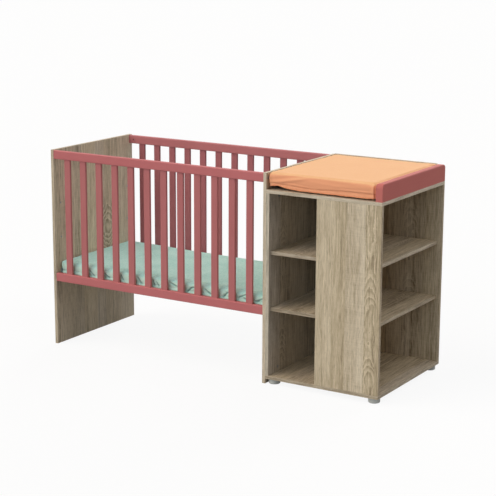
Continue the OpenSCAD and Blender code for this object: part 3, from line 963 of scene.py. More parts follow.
@dataclass
class PaddedBlock:
    """A foam block in a fitted cover, shaped from its CAD solid.

    The room is how far the cover may reach past the solid at its low and its high sides, in
    millimetres. The deeper a fold lies, the more painted shade it takes, all of it at the depth given for
    full shade.
    """

    node: str
    name: str
    body: Body
    slot: Slot
    voxel: float
    top_edge: float
    bottom_edge: float
    room: tuple[Place, Place]
    fill: float = 0.9
    rounding: int = 2
    pressure: float = 4.0
    travel: float = 5 * MM
    settling_frames: int = 20
    # Painted shade: a fold this deep takes all of the fold colour.
    fully_shaded_depth: float = 7 * MM
    outline_radius: float = 30 * MM
    seed: int = 3
    piece: Optional[Thing] = field(default=None, init=False)

    def __post_init__(self) -> None:
        """Measures the solid."""
        self.low, self.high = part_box(self.node)
        self.centre = (self.low + self.high) / 2
        self.half = (self.high - self.low) / 2

    def build(self, effects: Effects, trims: Trims) -> None:
        """Shapes the cover round its foam, then dresses and trims it.

        Args:
            effects: the shared shader groups.
            trims: the trees of hems and stitches.
        """
        self.piece = self._copy_solid()
        self._run_modifier("REMESH", mode="VOXEL", voxel_size=self.voxel, use_smooth_shade=True)
        self._round_edges()
        self._run_modifier("SMOOTH", factor=0.5, iterations=self.rounding)
        self._settle()
        self._run_modifier("SUBSURF", levels=1, render_levels=1)
        self._fold_cover()
        self.piece.data.shade_smooth()
        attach(self.piece, self.body.value)
        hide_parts(self.node)
        log.info("%s built on %s", self.name, self.body.value)
        self.dress(effects, trims)

    def _copy_solid(self) -> Thing:
        """Copies the CAD solid's mesh with its doubles merged.

        Returns:
            The new object.
        """
        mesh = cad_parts[self.node].data.copy()
        mesh.materials.clear()
        work = bmesh.new()
        work.from_mesh(mesh)
        bmesh.ops.remove_doubles(work, verts=work.verts, dist=0.01 * MM)
        work.to_mesh(mesh)
        work.free()
        mesh.name = self.name
        return place(self.name, mesh)

    def _run_modifier(self, kind: str, **settings: Any) -> None:
        """Runs one modifier on the piece and keeps its result.

        Args:
            kind: the modifier's type.
            settings: its settings.
        """
        modifier = self.piece.modifiers.new(kind.title(), kind)
        for name, value in settings.items():
            setattr(modifier, name, value)
        graph = bpy.context.evaluated_depsgraph_get()
        mesh = bpy.data.meshes.new_from_object(self.piece.evaluated_get(graph), depsgraph=graph)
        self.piece.modifiers.remove(modifier)
        old = self.piece.data
        self.piece.data = mesh
        bpy.data.meshes.remove(old)
        mesh.name = self.name

    def _round_edges(self) -> None:
        """Rounds the block's edges, by one radius at the top and another at the bottom."""
        places, _ = read_points(self.piece.data)
        share = ease((places[:, 2] - self.low.z) / (2 * self.half.z))
        radius = (self.bottom_edge + (self.top_edge - self.bottom_edge) * share) * self.edge_scale(places)
        radius = radius[:, None]
        inner = np.clip(places, np.array(self.low) + radius, np.array(self.high) - radius)
        away = places - inner
        reach = np.maximum(np.linalg.norm(away, axis=1, keepdims=True), 1e-9)
        write_points(self.piece.data, inner + away / reach * radius)

    def _settle(self) -> None:
        """Blows the cover up round the foam with a cloth simulation, its underside held."""
        places, normals = read_points(self.piece.data)
        held = self.piece.vertex_groups.new(name="held")
        underside = np.nonzero(places[:, 2] < self.low.z + 0.5 * self.voxel)[0]
        held.add([int(i) for i in underside], 1.0, "REPLACE")
        cloth = self.piece.modifiers.new("Cloth", "CLOTH")
        settings = {
            "vertex_group_mass": "held", "quality": 4, "use_pressure": True,
            "uniform_pressure_force": self.pressure, "tension_stiffness": 12.0,
            "compression_stiffness": 12.0, "bending_stiffness": 0.3}
        for name, value in settings.items():
            setattr(cloth.settings, name, value)
        cloth.settings.effector_weights.gravity = 0.0
        cloth.collision_settings.use_collision = False
        scene = bpy.context.scene
        for step in range(1, self.settling_frames + 1):
            scene.frame_set(step)
        settled = self.piece.evaluated_get(bpy.context.evaluated_depsgraph_get())
        after, _ = read_points(settled.to_mesh())
        settled.to_mesh_clear()
        self.piece.modifiers.remove(cloth)
        self.piece.vertex_groups.clear()
        scene.frame_set(1)
        swell = np.einsum("ij,ij->i", after - places, normals)
        kept = np.clip(swell, -self.travel / 5, self.travel)
        write_points(self.piece.data, places + normals * kept[:, None])
        log.info("%s settled, swelled %.1f mm at most", self.name, kept.max() / MM)

    def _fold_cover(self) -> None:
        """Folds the cover, within the room that the piece has, and marks how deep each point lies, which the
        cloth turns into painted shade in the folds.
        """
        mesh = self.piece.data
        places, normals = read_points(mesh)
        upright = np.clip(1.3 - 1.3 * np.abs(normals[:, 2]), 0, 1)
        top = np.clip(normals[:, 2], 0, 1) ** 2
        offset = self.folds(Skin(places, *self.unroll(places), upright, top))
        # Painted shade: how deep each point lies in a fold, which darkens the cloth there.
        crease = mesh.attributes.new(FOLD_SHADE, "FLOAT", "POINT")
        crease.data.foreach_set("value", np.clip(-offset / self.fully_shaded_depth, 0, 1).astype(np.float32))
        moved = self.stretch(places + normals * offset[:, None])
        before, past = np.array(self.room) * MM
        write_points(mesh, np.clip(moved, np.array(self.low) - before, np.array(self.high) + past))

    def edge_scale(self, places: Values) -> Values:
        """Gives how much rounder or squarer the edges are near each point."""
        raise NotImplementedError

    def folds(self, skin: Skin) -> Values:
        """Gives how far each point of the cover moves out along its normal."""
        raise NotImplementedError

    def stretch(self, places: Values) -> Values:
        """Moves points outwards where the cover fills more room than its solid."""
        raise NotImplementedError

    def dress(self, effects: Effects, trims: Trims) -> None:
        """Gives the cover its cloth and its trims."""
        raise NotImplementedError

    def add_trim(self, name: str, tree: Tree, height: Callable[[float, float], float],
                 **values: Any) -> None:
        """Grows a trim round the sides, which rides with the cover.

        Args:
            name: the trim's name.
            tree: its geometry tree.
            height: the height of its line at a place in plan.
            values: the tree's inputs, with underscores for spaces.
        """
        trim = grow(name, self.ring(height), tree, with_spaces(values))
        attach(trim, self.body.value)
        log.info("%s built on %s", name, self.body.value)

    def unroll(self, places: Values) -> tuple[Values, Values]:
        """Lays the sides out flat.

        Args:
            places: points on or near the sides.

        Returns:
            How far round from the front left corner each point lies, and its height above the bottom.
        """
        x = places[:, 0] - self.centre.x
        y = places[:, 1] - self.centre.y
        wide, deep = self.half.x, self.half.y
        lengthwise = deep - np.abs(y) < wide - np.abs(x)
        front_or_back = np.where(y < 0, x + wide, 3 * wide + 2 * deep - x)
        right_or_left = np.where(x > 0, 2 * wide + y + deep, 4 * wide + 3 * deep - y)
        return np.where(lengthwise, front_or_back, right_or_left), places[:, 2] - self.low.z

    def ring(self, height: Callable[[float, float], float], step: float = 4 * MM,
             lift: float = 0.2 * MM, cast: float = 50 * MM) -> list[Vector]:
        """Lays a closed line round the piece's sides, on its surface.

        Args:
            height: the line's height at a place in plan.
            step: the distance between the line's points.
            lift: how far the line lies off the surface.
            cast: how far outside the outline each point starts.

        Returns:
            The points of the line.
        """
        mesh = self.piece.data
        tree = BVHTree.FromPolygons(
            [v.co.copy() for v in mesh.vertices], [tuple(p.vertices) for p in mesh.polygons])
        points = []
        for x, y in rounded_outline(self.centre, self.half, self.outline_radius, step):
            outward = side_direction(x - self.centre.x, y - self.centre.y, self.half)
            hit, normal, _, _ = tree.ray_cast(Vector((x, y, height(x, y))) + outward * cast, -outward)
            if hit is not None:
                points.append(hit + normal * lift)
        return points


@dataclass
class CotMattress(PaddedBlock):
    """The cot's mattress in its mint sheet, tucked in under the sides.

    The sag gives how far the top lies above the foam's, at shares of the length from the left.
    The folds of the other sides start side_folds_from round from the front left corner and stop
    side_folds_stop before it, in millimetres.
    """

    node: str = "mattress"
    name: str = "mattress_in_sheet"
    body: Body = Body.MATTRESS
    slot: Slot = Slot.SHEET
    voxel: float = 7 * MM
    top_edge: float = 26 * MM
    bottom_edge: float = 9 * MM
    room: tuple[Place, Place] = ((8, 3, 0), (8, 3, 7))
    colour: Colour = srgb(213, 253, 242)
    shade: Colour = srgb(170, 229, 217)
    # Painted shade: the sheet's upright sides take this darker colour.
    side: Colour = srgb(213, 240, 219)
    # Painted shade in the sheet's folds.
    painted_fold_shade: Colour = srgb(96, 132, 124)
    thread: Colour = srgb(222, 246, 236)
    tuck_height: float = 27 * MM
    tuck_depth: float = 3.4 * MM
    hem_roll: float = 2.6 * MM
    end_room: float = 7.5 * MM
    left_edge: float = 0.3
    sag: tuple[tuple[float, float], ...] = ((0.0, 5 * MM), (0.35, -1 * MM), (1.0, -7 * MM))
    side_folds_from: float = 1240
    side_folds_stop: float = 40
    front_folds: tuple[Fold, ...] = (
        Fold(80, 28, -3.0, 34, 4.6, 5.5), Fold(195, 36, -0.81, 60, 4.4, 8.5),
        Fold(285, 37, -0.62, 50, 4.8, 8.0), Fold(380, 41, -1.5, 52, 4.6, 9.0),
        Fold(484, 40, -1.3, 46, 7.5, 8.0), Fold(570, 38, -3.0, 44, 5.5, 8.0),
        Fold(594, 32, -1.6, 40, 4.6, 8.0), Fold(688, 43, -0.43, 54, 6.0, 8.0, 5.0),
        Fold(776, 31, 0.91, 50, 5.6, 8.0, -9.0), Fold(800, 46, 0.2, 40, 5.0, 6.5),
        Fold(880, 36, -0.67, 56, 6.0, 8.0, 8.0), Fold(980, 36, 1.0, 52, 5.8, 8.0, -7.0),
        Fold(992, 48, -0.3, 40, 5.0, 6.5), Fold(1074, 43, 0.57, 56, 6.2, 8.0, 6.0),
        Fold(1094, 27, -0.5, 40, 4.6, 7.0), Fold(1166, 34, 0.58, 46, 5.0, 8.0))

    def edge_scale(self, places: Values) -> Values:
        """Squares the top edge at the left end, where the sheet lies against the end panel."""
        return 1 - (1 - self.left_edge) * ease((self.low.x - places[:, 0]) / (50 * MM) + 1)

    def stretch(self, places: Values) -> Values:
        """Fills the ends of the cot, where the sheet's corners press against the end panels.

        Args:
            places: the cover's points.

        Returns:
            The points where they end up.
        """
        moved = places.copy()
        moved[:, 0] += (places[:, 0] - self.centre.x) * self.end_room / self.half.x
        share = np.clip((places[:, 2] - self.centre.z) / self.half.z, 0, 1)
        lengthwise = (places[:, 0] - self.low.x) / (2 * self.half.x)
        moved[:, 2] += np.interp(lengthwise, *zip(*self.sag)) * share
        return moved

    def folds(self, skin: Skin) -> Values:
        """Draws the sheet's tucks along the lower sides, its hem's roll and a slack top.

        Args:
            skin: the cover's points.

        Returns:
            How far each point moves out along its normal.
        """
        places, height = skin.places, skin.height
        tuck = self.tuck_height + ripple(places, 7.0, 1.0) * 7 * MM + ripple(places, 26.0, 4.0) * 5 * MM
        strength = np.clip(0.85 + 0.9 * ripple(places, 15.0, 9.0), 0.25, 1.5)
        sides = -self.tuck_depth * strength * hump(height, tuck, 4.0 * MM)
        sides += self.hem_roll * hump(height, tuck - 9.5 * MM, 4.6 * MM)
        sides -= 3.0 * MM * below(height, tuck - 19 * MM, 2 * MM)
        for fold in self.front_folds + self._side_folds():
            sides += fold.offset(skin.round_way, height)
        puckers = ripple(places * (1, 1, 0.35), 44.0, 12.0) + 0.6 * ripple(places, 90.0, 17.0)
        sides += puckers * hump(height, tuck - 2 * MM, 15 * MM) * 2.3 * MM
        slack = ripple(places, 3.2, 2.0) * 1.4 * MM + ripple(places * (1, 2.2, 1), 9.0, 6.0) * 0.6 * MM
        return sides * skin.upright + slack * skin.top

    def _side_folds(self) -> tuple[Fold, ...]:
        """Lays slanting folds round the other three sides, at uneven steps.

        Returns:
            The folds.
        """
        rng = np.random.default_rng(self.seed)
        folds = []
        at = self.side_folds_from
        while at < 4 * (self.half.x + self.half.y) / MM - self.side_folds_stop:
            falls = -1 if rng.random() < 0.72 else 1
            folds.append(Fold(at, rng.uniform(30, 44), falls * rng.uniform(0.6, 1.8), rng.uniform(36, 64),
                              rng.uniform(4.2, 6.4), rng.uniform(3.6, 6.8)))
            at += rng.uniform(40, 72)
        return tuple(folds)

    def hem_height(self, x: float, y: float) -> float:
        """Gives the height of the sheet's stitched hem."""
        return self.low.z + 9 * MM + 1.5 * MM * math.sin(19 * x + 13 * y)

    def dress(self, effects: Effects, trims: Trims) -> None:
        """Gives the sheet its cloth and the stitching of its hem.

        Args:
            effects: the shared shader groups.
            trims: the trees of hems and stitches.
        """
        cloth = JerseyCloth("mint jersey", self.colour, self.shade, self.side, self.painted_fold_shade)
        self.piece.data.materials.append(cloth.material(effects))
        self.add_trim(
            "sheet_hem_stitches", trims.stitch_row, self.hem_height, Stitch_length=3.2 * MM,
            Stitch_pitch=4.6 * MM, Thread_radius=0.5 * MM,
            Material=JerseyCloth("mint thread", self.thread, self.colour).material(effects))


@dataclass
class MatCover(PaddedBlock):
    """The changing mat in its peach cover, whose elastic hem gathers under the sides.

    The crease and the hem's lower edge are heights above the bottom at places along the front,
    measured from its left end, in millimetres. The other sides follow the same run.
    """

    node: str = "changing_mat"
    name: str = "changing_mat_in_cover"
    body: Body = Body.MAT
    slot: Slot = Slot.COVER
    voxel: float = 6 * MM
    top_edge: float = 10 * MM
    bottom_edge: float = 8 * MM
    room: tuple[Place, Place] = ((1, 9, 0), (1, 1, 4))
    fill: float = 0.95
    colour: Colour = srgb(255, 199, 147)
    shade: Colour = srgb(252, 193, 141)
    # Painted shade: the cover's upright sides take this darker colour.
    side: Colour = srgb(255, 166, 127)
    # Painted shade in the cover's folds and along its crease.
    painted_fold_shade: Colour = srgb(176, 100, 66)
    thread: Colour = srgb(253, 200, 160)
    # Painted shade: a near-black cloth below the hem's lower edge, for the shade beneath the lifted hem.
    underside: Colour = srgb(26, 23, 21)
    underside_shade: Colour = srgb(20, 18, 17)
    crease: tuple[tuple[float, float], ...] = (
        (0, 31), (35, 30), (100, 27), (165, 23.5), (246, 21), (334, 25), (396, 27.5), (480, 28), (551, 29))
    lower_edge: tuple[tuple[float, float], ...] = (
        (0, 12), (22, 15), (45, 20), (75, 14), (100, 9.5), (165, 4.5), (300, 4.5), (551, 5))
    pulls: tuple[Fold, ...] = (
        Fold(100, 47, 0.19, 235, 8.5, -2.4), Fold(85, 60, 0.16, 180, 8.0, 1.7),
        Fold(70, 36, 0.06, 130, 6.0, 1.2), Fold(300, 62, -0.05, 260, 10, 1.2),
        Fold(440, 41, 0.05, 180, 7, 1.0), Fold(430, 21, 0.02, 230, 2.6, 1.8),
        Fold(200, 34, -0.08, 150, 3.4, 1.5))
    corner_reach: float = 40 * MM
    corner_radius: float = 30 * MM
    ear_fill: float = 0.8
    ear_lift: float = 3.5 * MM
    band_height: float = 6 * MM

    def edge_scale(self, places: Values) -> Values:
        """Squares the rear edge, and rounds the one along the right guard, most at its front.

        Args:
            places: the block's points.

        Returns:
            A scale for the edge's radius at each point.
        """
        rear = np.clip((places[:, 1] - self.high.y) / self.corner_reach + 1, 0, 1)
        right = np.clip((places[:, 0] - self.high.x) / self.corner_reach + 1, 0, 1)
        to_corner = np.hypot(places[:, 0] - self.high.x, places[:, 1] - self.low.y)
        return 1 - 0.65 * rear + 0.7 * right * (1 - rear) + 0.4 * hump(to_corner, 0.0, self.corner_reach)

    @staticmethod
    def along_run(run: Sequence[tuple[float, float]], round_way: Values) -> Values:
        """Reads a run of heights at places round the sides.

        Args:
            run: places along the front and heights there, in millimetres.
            round_way: how far round the sides to read, in metres.

        Returns:
            The heights in metres.
        """
        places, heights = np.array(run).T * MM
        back_and_forth = np.abs((round_way + places[-1]) % (2 * places[-1]) - places[-1])
        return np.interp(back_and_forth, places, heights)

    def folds(self, skin: Skin) -> Values:
        """Draws the crease over the hem, the hem's gathers, the corner pulls and a full belly.

        Args:
            skin: the cover's points.

        Returns:
            How far each point moves out along its normal.
        """
        places, height = skin.places, skin.height
        crease = self.along_run(self.crease, skin.round_way) + ripple(places, 14.0, 1.0) * 1.5 * MM
        up = np.clip((height - crease) / (2 * self.half.z - crease), 0, 1)
        sides = 2.6 * MM * np.clip(np.sin(np.pi * up), 0, 1)
        sides -= (3.2 * MM + ripple(places, 20.0, 15.0) * 1.8 * MM) * hump(height, crease, 2.1 * MM)
        sides += 1.1 * MM * hump(height, crease + 7 * MM, 4.5 * MM)
        gathers = ripple(places * (1, 1, 0.15), 60.0, 5.0) + 0.5 * ripple(places * (1, 1, 0.3), 130.0, 8.0)
        sides += (gathers - 0.4) * MM * below(height, crease, 1.5 * MM)
        for fold in self.pulls + self._side_pulls():
            sides += fold.offset(skin.round_way, height)
        corner = 2 * self.half.x
        sides += 2.6 * MM * hump(skin.round_way, corner - 17 * MM, 4 * MM)
        sides -= 4.5 * MM * hump(skin.round_way, corner - 8 * MM, 3.5 * MM)
        tucked_in = below(height, self.along_run(self.lower_edge, skin.round_way), 1.1 * MM)
        swell = ripple(places, 3.0, 3.0) * 0.8 * MM + 1.6 * MM
        return sides * skin.upright - 20 * MM * tucked_in + swell * skin.top

    def _side_pulls(self) -> tuple[Fold, ...]:
        """Lays shallow pulls round the other three sides, slanting up from the corners.

        Returns:
            The pulls.
        """
        rng = np.random.default_rng(self.seed)
        wide, deep = 2 * self.half.x / MM, 2 * self.half.y / MM
        return tuple(
            Fold(corner + rng.uniform(50, 120) + 110 * i, rng.uniform(36, 60), rng.uniform(-0.2, 0.25),
                 rng.uniform(90, 200), rng.uniform(5, 8), rng.uniform(-1.8, 1.8))
            for corner in (wide, wide + deep, 2 * wide + deep) for i in range(4))

    def stretch(self, places: Values) -> Values:
        """Fills the rear right corner, where the cover's ear stands up between the guards.

        Args:
            places: the cover's points.

        Returns:
            The points where they end up.
        """
        moved = places.copy()
        rear_right = np.array((self.high.x, self.high.y))
        centre = rear_right - self.corner_radius
        away = places[:, :2] - centre
        longest = np.maximum(np.abs(away).max(axis=1), 1e-9)
        squarer = 1 + self.ear_fill * (np.linalg.norm(away, axis=1) / longest - 1)
        moved[:, :2] = centre + away * np.where((away > 0).all(axis=1), squarer, 1)[:, None]
        share = np.clip((places[:, 2] - self.centre.z) / self.half.z, 0, 1)
        to_corner = np.linalg.norm(places[:, :2] - rear_right, axis=1)
        moved[:, 2] += self.ear_lift * share * hump(to_corner, 0.0, 45 * MM)
        return moved

    def _lay_underside_shade(self, slot: int) -> None:
        """Gives the underside of the mat, up to the hem's lower edge, its own material slot, which holds a
        near-black cloth as painted shade beneath the hem.

        Args:
            slot: the place of its material on the piece.
        """
        polygons = self.piece.data.polygons
        centres = np.empty(len(polygons) * 3)
        polygons.foreach_get("center", centres)
        round_way, height = self.unroll(centres.reshape(-1, 3))
        under = height < self.along_run(self.lower_edge, round_way) - 0.5 * MM
        polygons.foreach_set("material_index", np.where(under, slot, 0).astype(np.int32))

    def up_the_band(self, share: float) -> Callable[[float, float], float]:
        """Gives the height of a line that runs along the elastic hem.

        Args:
            share: how far up the hem's band the line lies, from 0 to 1.

        Returns:
            A function from a place in plan to the height there.
        """
        def height(x: float, y: float) -> float:
            """Gives the height at one place."""
            round_way, _ = self.unroll(np.array([[x, y, 0.0]]))
            edge = float(self.along_run(self.lower_edge, round_way)[0])
            return self.low.z + edge + share * self.band_height
        return height

    def dress(self, effects: Effects, trims: Trims) -> None:
        """Gives the mat its cloth, a near-black cloth below the hem as painted shade, its gathered hem and
        the hem's stitching.

        Args:
            effects: the shared shader groups.
            trims: the trees of hems and stitches.
        """
        cloth = JerseyCloth("peach jersey", self.colour, self.shade, self.side, self.painted_fold_shade,
                            pitch=1.4 * MM, sheen=0.1).material(effects)
        # Painted shade: the underside below the hem takes a near-black cloth.
        painted_shade = JerseyCloth("grip cloth", self.underside, self.underside_shade, sheen=0.0).material(effects)
        for material in (cloth, painted_shade):
            self.piece.data.materials.append(material)
        self._lay_underside_shade(1)
        self.add_trim(
            "mat_hem", trims.gathered_band, self.up_the_band(0.5), Band_height=self.band_height,
            Band_thickness=1.4 * MM, Gather_depth=0.6 * MM, Gather_pitch=10 * MM, Seed=2.0, Material=cloth)
        self.add_trim(
            "mat_stitches", trims.stitch_row, self.up_the_band(0.95), Stitch_length=3.0 * MM,
            Stitch_pitch=4.4 * MM, Thread_radius=0.45 * MM,
            Material=JerseyCloth("peach thread", self.thread, self.colour).material(effects))


# ---- Hard pieces ----


def dress(material: bpy.types.Material, *names: str, edge_round: float = 0.0) -> None:
    """Gives CAD nodes one material, and breaks their sharp edges with modifiers alone.

    Args:
        material: the material.
        names: the nodes.
        edge_round: the width of the round along the edges, or 0 for none.
    """
    for name in names:
        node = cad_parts[name]
        node.data.materials.clear()
        node.data.materials.append(material)
        if edge_round:
            node.modifiers.new("Weld", "WELD").merge_threshold = 0.005 * MM
            bevel = node.modifiers.new("Bevel", "BEVEL")
            bevel.width = edge_round
            bevel.segments = 2
            bevel.limit_method = "ANGLE"
            bevel.angle_limit = math.radians(50)
            bevel.miter_outer = "MITER_ARC"
        log.info("%s: %s", name, material.name)


@dataclass
class Cot:
    """The cot's end panels and barred sides. Each paint is a colour and its shade; the bars and the rear
    rails take darker copies of the rails' paint, as painted shade.
    """

    bars_a_side: int = 12
    edge_round: float = 0.6 * MM
    rail_paint: tuple[Colour, Colour] = (srgb(204, 119, 119), srgb(197, 113, 113))
    # Painted shade: darker copies of the rails' paint for the rear rails, the front bars and, darker still,
    # the rear bars.
    shaded_rear_rail_paint: tuple[Colour, Colour] = (srgb(195, 119, 120), srgb(188, 113, 114))
    shaded_bar_paint: tuple[Colour, Colour] = (srgb(195, 118, 117), srgb(188, 112, 111))
    shaded_rear_bar_paint: tuple[Colour, Colour] = (srgb(178, 107, 110), srgb(171, 101, 104))

    def panels(self) -> tuple[OakDecor, OakDecor]:
        """Gives the decor of the left and the right end panel."""
        return (
            OakDecor("oak left end", "left_end_panel", seed=1.7, figure_at=0.105, figure_width=0.08,
                     figure_run=(-0.16, 0.2), swells=((0.03, 0.17, -3.0), (0.03, -0.1, -4.0)), edging=-0.12,
                     dark=srgb(138, 124, 106), middle=srgb(210, 194, 172), light=srgb(238, 226, 209)),
            OakDecor("oak right end", "right_end_panel", seed=9.2, figure_at=-0.12, figure_width=0.08,
                     edging=0.16))

    def build(self, effects: Effects) -> None:
        """Dresses the panels, rails and bars.

        Args:
            effects: the shared shader groups.
        """
        for panel in self.panels():
            dress(panel.material(effects), panel.node, edge_round=self.edge_round)
        # Painted shade: each side's bars, and the rear rails, take a darker copy of the paint.
        for side, shaded_bar_paint, rail_paint in (("front", self.shaded_bar_paint, self.rail_paint),
                                            ("rear", self.shaded_rear_bar_paint, self.shaded_rear_rail_paint)):
            bars = [f"{side}_bar_{i}" for i in range(1, self.bars_a_side + 1)]
            dress(SatinPaint(f"{side} bar paint", *shaded_bar_paint, Axis.Z).material(effects), *bars)
            dress(SatinPaint(f"{side} rail paint", *rail_paint, Axis.X).material(effects),
                  f"{side}_top_rail", f"{side}_bottom_rail")


@dataclass
class SlattedBase:
    """The height-adjustable base under the mattress."""

    edge_round: float = 0.8 * MM
    dark: Colour = srgb(206, 172, 122)
    light: Colour = srgb(238, 216, 176)

    def build(self, effects: Effects) -> None:
        """Dresses the frame and its slats.

        Args:
            effects: the shared shader groups.
        """
        along_x = BareWood("pine side rails", Axis.X, Axis.Y, self.dark, self.light).material(effects)
        along_y = BareWood("pine slats", Axis.Y, Axis.X, self.dark, self.light).material(effects)
        dress(along_x, "base_side_rails", edge_round=self.edge_round)
        dress(along_y, "base_end_rails", edge_round=self.edge_round)
        dress(along_y, "base_slats")


@dataclass
class Changer:
    """The changing unit's boards, shelves and guards."""

    edge_round: float = 0.6 * MM
    paint: Colour = srgb(208, 121, 113)
    paint_shade: Colour = srgb(202, 116, 109)
    # Painted shade: a darker middle tone for the front shelves, for the shade deep in their niches.
    shelf: Colour = srgb(180, 165, 143)
    front_planks: tuple[Plank, ...] = (
        Plank(0.0, 0.16, 0.9, 0.12), Plank(0.24, 0.1, 1.0, 0.15), Plank(0.375, 0.01, 1.0, 0.15),
        Plank(0.4615, 0.13, 0.7, 0.45), Plank(0.62, 0.18, 0.65, 0.5), Plank(0.76, 0.03, 1.0, 0.3),
        Plank(0.9385, -0.04, 1.0, 0.2))

    def boards(self) -> list[OakDecor]:
        """Lists the boards with the run of their grain.

        Returns:
            The decor of each board.
        """
        lying = {"grain": Axis.Y, "width": Axis.X, "thickness": Axis.Z}
        facing = {"grain": Axis.Z, "width": Axis.X, "thickness": Axis.Y}
        return [
            OakDecor("oak changer side", "changer_side_panel", seed=3.4, figure_at=-0.2, figure=0.6,
                     dark=srgb(118, 107, 95), middle=srgb(196, 186, 172), light=srgb(232, 223, 212)),
            OakDecor("oak divider", "changer_divider", seed=5.1, figure_at=0.1, figure=0.7),
            OakDecor("oak changer front", "changer_front_panel", seed=12.6, figure_at=0.1135,
                     figure_width=0.058, figure=0.85, planks=self.front_planks, edging=-0.2,
                     swells=((0.175, 0.225, 1.0), (0.185, -0.08, 5.0), (-0.24, -0.36, 3.0)), **facing),
            OakDecor("oak changer rear", "changer_rear_panel", seed=7.9, figure_at=0.125, figure=0.5,
                     swells=((0.36, 0.2, 3.0), (-0.02, -0.16, 3.0)), **facing),
            OakDecor("oak top", "changer_top_board", seed=2.2, edging=0.16, **lying),
            OakDecor("oak bottom", "changer_bottom_board", seed=8.8, figure=0.5, **lying),
            # Painted shade: the front shelves take the darker middle tone.
            OakDecor("oak front shelf low", "front_shelf_lower", seed=6.3, figure=0.4, middle=self.shelf,
                     **lying),
            OakDecor("oak front shelf high", "front_shelf_upper", seed=1.1, figure=0.4, middle=self.shelf,
                     **lying),
            OakDecor("oak end shelf low", "end_shelf_lower", seed=4.6, figure=0.5, **lying),
            OakDecor("oak end shelf high", "end_shelf_upper", seed=9.9, figure=0.5, **lying),
            OakDecor("oak rear guard", "rear_guard", Axis.X, Axis.Z, Axis.Y, seed=5.7, figure=0.0)]

    def build(self, effects: Effects) -> None:
        """Dresses the boards and the guards.

        Args:
            effects: the shared shader groups.
        """
        for board in self.boards():
            dress(board.material(effects), board.node, edge_round=self.edge_round)
        guard = SatinPaint("terracotta guard", self.paint, self.paint_shade, Axis.Y, gloss=0.06)
        dress(guard.material(effects), "right_guard")


@dataclass
class Fittings:
    """Bolts, screws, dowels, pins and the changer's feet."""

    steel: tuple[str, ...] = (
        "rail_bolts", "barrel_nuts", "height_inserts", "base_brackets", "bracket_bolts",
        "base_frame_screws", "shelf_pins", "carcass_screws", "link_bolts", "wood_screws")
    beech_dark: Colour = srgb(190, 150, 104)
    beech_light: Colour = srgb(224, 190, 146)
    foot: Colour = srgb(196, 196, 190)
    foot_shade: Colour = srgb(178, 178, 172)

    def build(self, effects: Effects) -> None:
        """Dresses the fittings.

        Args:
            effects: the shared shader groups.
        """
        dress(ZincSteel("zinc plate").material(effects), *self.steel)
        beech = BareWood("beech dowels", Axis.X, Axis.Y, self.beech_dark, self.beech_light)
        dress(beech.material(effects), "wooden_dowels")
        dress(MouldedPlastic("grey glide", self.foot, self.foot_shade).material(effects), "feet")


# ---- Studio ----


@dataclass(frozen=True)
class Lamp:
    """A wide, distant lamp: where it shines from, its strength in W/m2, its tint and its width."""

    name: str
    source: Place
    strength: float
    colour: Place = (1.0, 1.0, 1.0)
    angle: float = math.radians(50)
    away: float = 6.0

    def hang(self) -> None:
        """Hangs the lamp."""
        light = bpy.data.lights.new(self.name, "SUN")
        light.energy = self.strength
        light.angle = self.angle
        light.color = self.colour
        made = place(self.name, light)
        made.location = Vector(self.source) * self.away
        made.rotation_euler = (-Vector(self.source)).to_track_quat("-Z", "Y").to_euler()


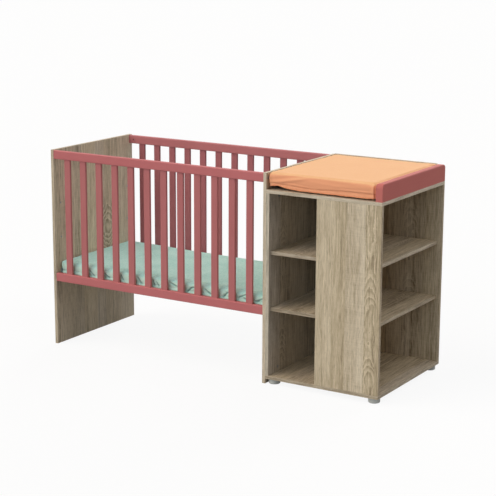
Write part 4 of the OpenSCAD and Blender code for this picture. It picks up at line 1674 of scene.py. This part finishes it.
@dataclass
class Studio:
    """A pale floor, soft lamps and the camera at the photograph's angle.

    The floor bounces less light on the object than the camera sees of it, and glows a little.
    """

    camera_at: Place = (3.709, -5.963, 2.123)
    azimuth: float = math.radians(-31.66)
    elevation: float = math.radians(-12.64)
    roll: float = math.radians(0.25)
    focal_pixels: float = 1466.3
    photo_pixels: int = 496
    sensor: float = 36.0
    ambient: float = 0.1
    lamps: tuple[Lamp, ...] = (
        Lamp("front_lamp", (0.0, -1.0, 0.2), 1.06, (0.88, 1.0, 1.1)),
        Lamp("front_left_lamp", (-0.5, -0.5, 0.7), 1.52, (1.1, 1.0, 0.88)),
        Lamp("right_lamp", (0.7, 0.0, 0.7), 0.66),
        Lamp("rear_lamp", (0.0, 1.0, 0.25), 1.4),
        Lamp("rear_top_lamp", (0.0, 0.7, 0.7), 0.5))
    floor_half: float = 60.0
    floor_at: float = -0.5 * MM
    floor_bounce: float = 0.3
    floor_seen: float = 0.95
    floor_glow: float = 0.9

    def build(self) -> None:
        """Builds the floor, world, lamps and camera."""
        self._floor()
        self._world()
        for lamp in self.lamps:
            lamp.hang()
        self._camera()

    def _floor(self) -> None:
        """Lays a pale floor that keeps the object's shadow."""
        outline = [(x * self.floor_half, y * self.floor_half, self.floor_at)
                   for x, y in ((-1, -1), (1, -1), (1, 1), (-1, 1))]
        mesh = bpy.data.meshes.new("floor")
        mesh.from_pydata(outline, [], [(0, 1, 2, 3)])
        material = bpy.data.materials.new("pale floor")
        material.use_nodes = True
        mesh.materials.append(material)
        nodes = material.node_tree.nodes
        sketch = Sketch(material.node_tree)
        shader = nodes["Principled BSDF"]
        seen = self._seen(sketch)
        bounce, shown = (sketch.vector(value, value, value) for value in (self.floor_bounce, self.floor_seen))
        sketch.feed(shader.inputs["Base Color"], sketch.mix(seen, bounce, shown))
        sketch.feed(shader.inputs["Roughness"], 0.9)
        sketch.feed(shader.inputs["Specular IOR Level"], 0.0)
        white = sketch.add("ShaderNodeEmission", into={"Strength": 1.0})
        lit = Signal(sketch, shader.outputs[0])
        mixed = sketch.add("ShaderNodeMixShader", seen * self.floor_glow, lit, white)
        sketch.feed(nodes["Material Output"].inputs["Surface"], mixed)
        place("floor", mesh)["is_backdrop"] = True

    def _world(self) -> None:
        """Lights the room evenly and shows it white to the camera, in gloss and through glass."""
        world = bpy.data.worlds.new("studio")
        bpy.context.scene.world = world
        world.use_nodes = True
        sketch = Sketch(world.node_tree)
        background = world.node_tree.nodes["Background"]
        sketch.feed(background.inputs["Color"], (1.0, 1.0, 1.0, 1.0))
        sketch.feed(background.inputs["Strength"], sketch.span(self._seen(sketch), 0, 1, self.ambient, 1.0))

    @staticmethod
    def _seen(sketch: Sketch) -> Signal:
        """Tells the rays that show a thing from those that light the object.

        Args:
            sketch: a sketch of a material's or the world's tree.

        Returns:
            1 on rays from the camera, in gloss and through glass, and 0 on the others.
        """
        path = sketch.add("ShaderNodeLightPath")
        camera, glossy, through = (path[f"Is {kind} Ray"] for kind in ("Camera", "Glossy", "Transmission"))
        return sketch.math("MAXIMUM", camera, sketch.math("MAXIMUM", glossy, through))

    def _camera(self) -> None:
        """Stands the camera where the photograph was taken from."""
        forward = Vector((math.sin(self.azimuth) * math.cos(self.elevation),
                          math.cos(self.azimuth) * math.cos(self.elevation), math.sin(self.elevation)))
        level_right = forward.cross(Vector(Axis.Z.value)).normalized()
        level_up = level_right.cross(forward)
        right = level_right * math.cos(self.roll) + level_up * math.sin(self.roll)
        up = level_up * math.cos(self.roll) - level_right * math.sin(self.roll)
        data = bpy.data.cameras.new("camera")
        data.sensor_width = self.sensor
        data.lens = self.focal_pixels / self.photo_pixels * self.sensor
        camera = place("camera", data)
        turn = Matrix((right, up, -forward)).transposed()
        camera.matrix_world = Matrix.Translation(self.camera_at) @ turn.to_4x4()
        bpy.context.scene.camera = camera


def clear_startup() -> None:
    """Removes the objects that a new Blender file starts with."""
    for name in ("Cube", "Light", "Camera"):
        if name in bpy.data.objects:
            bpy.data.objects.remove(bpy.data.objects[name])


def corners() -> list[list[float]]:
    """Gives the lowest and highest corner of what shows, as plain lists."""
    return [list(corner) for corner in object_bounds()]


def main() -> None:
    """Builds every piece in order."""
    logging.basicConfig(level=logging.INFO, format="%(name)s: %(message)s")
    clear_startup()
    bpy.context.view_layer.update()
    bpy.context.scene.view_settings.view_transform = "Standard"
    effects = Effects()
    trims = Trims()
    for assembly in (Cot(), SlattedBase(), Changer(), Fittings()):
        assembly.build(effects)
    for soft_piece in (CotMattress(), MatCover()):
        soft_piece.build(effects, trims)
    Studio().build()


if __name__ == "__main__":
    main()
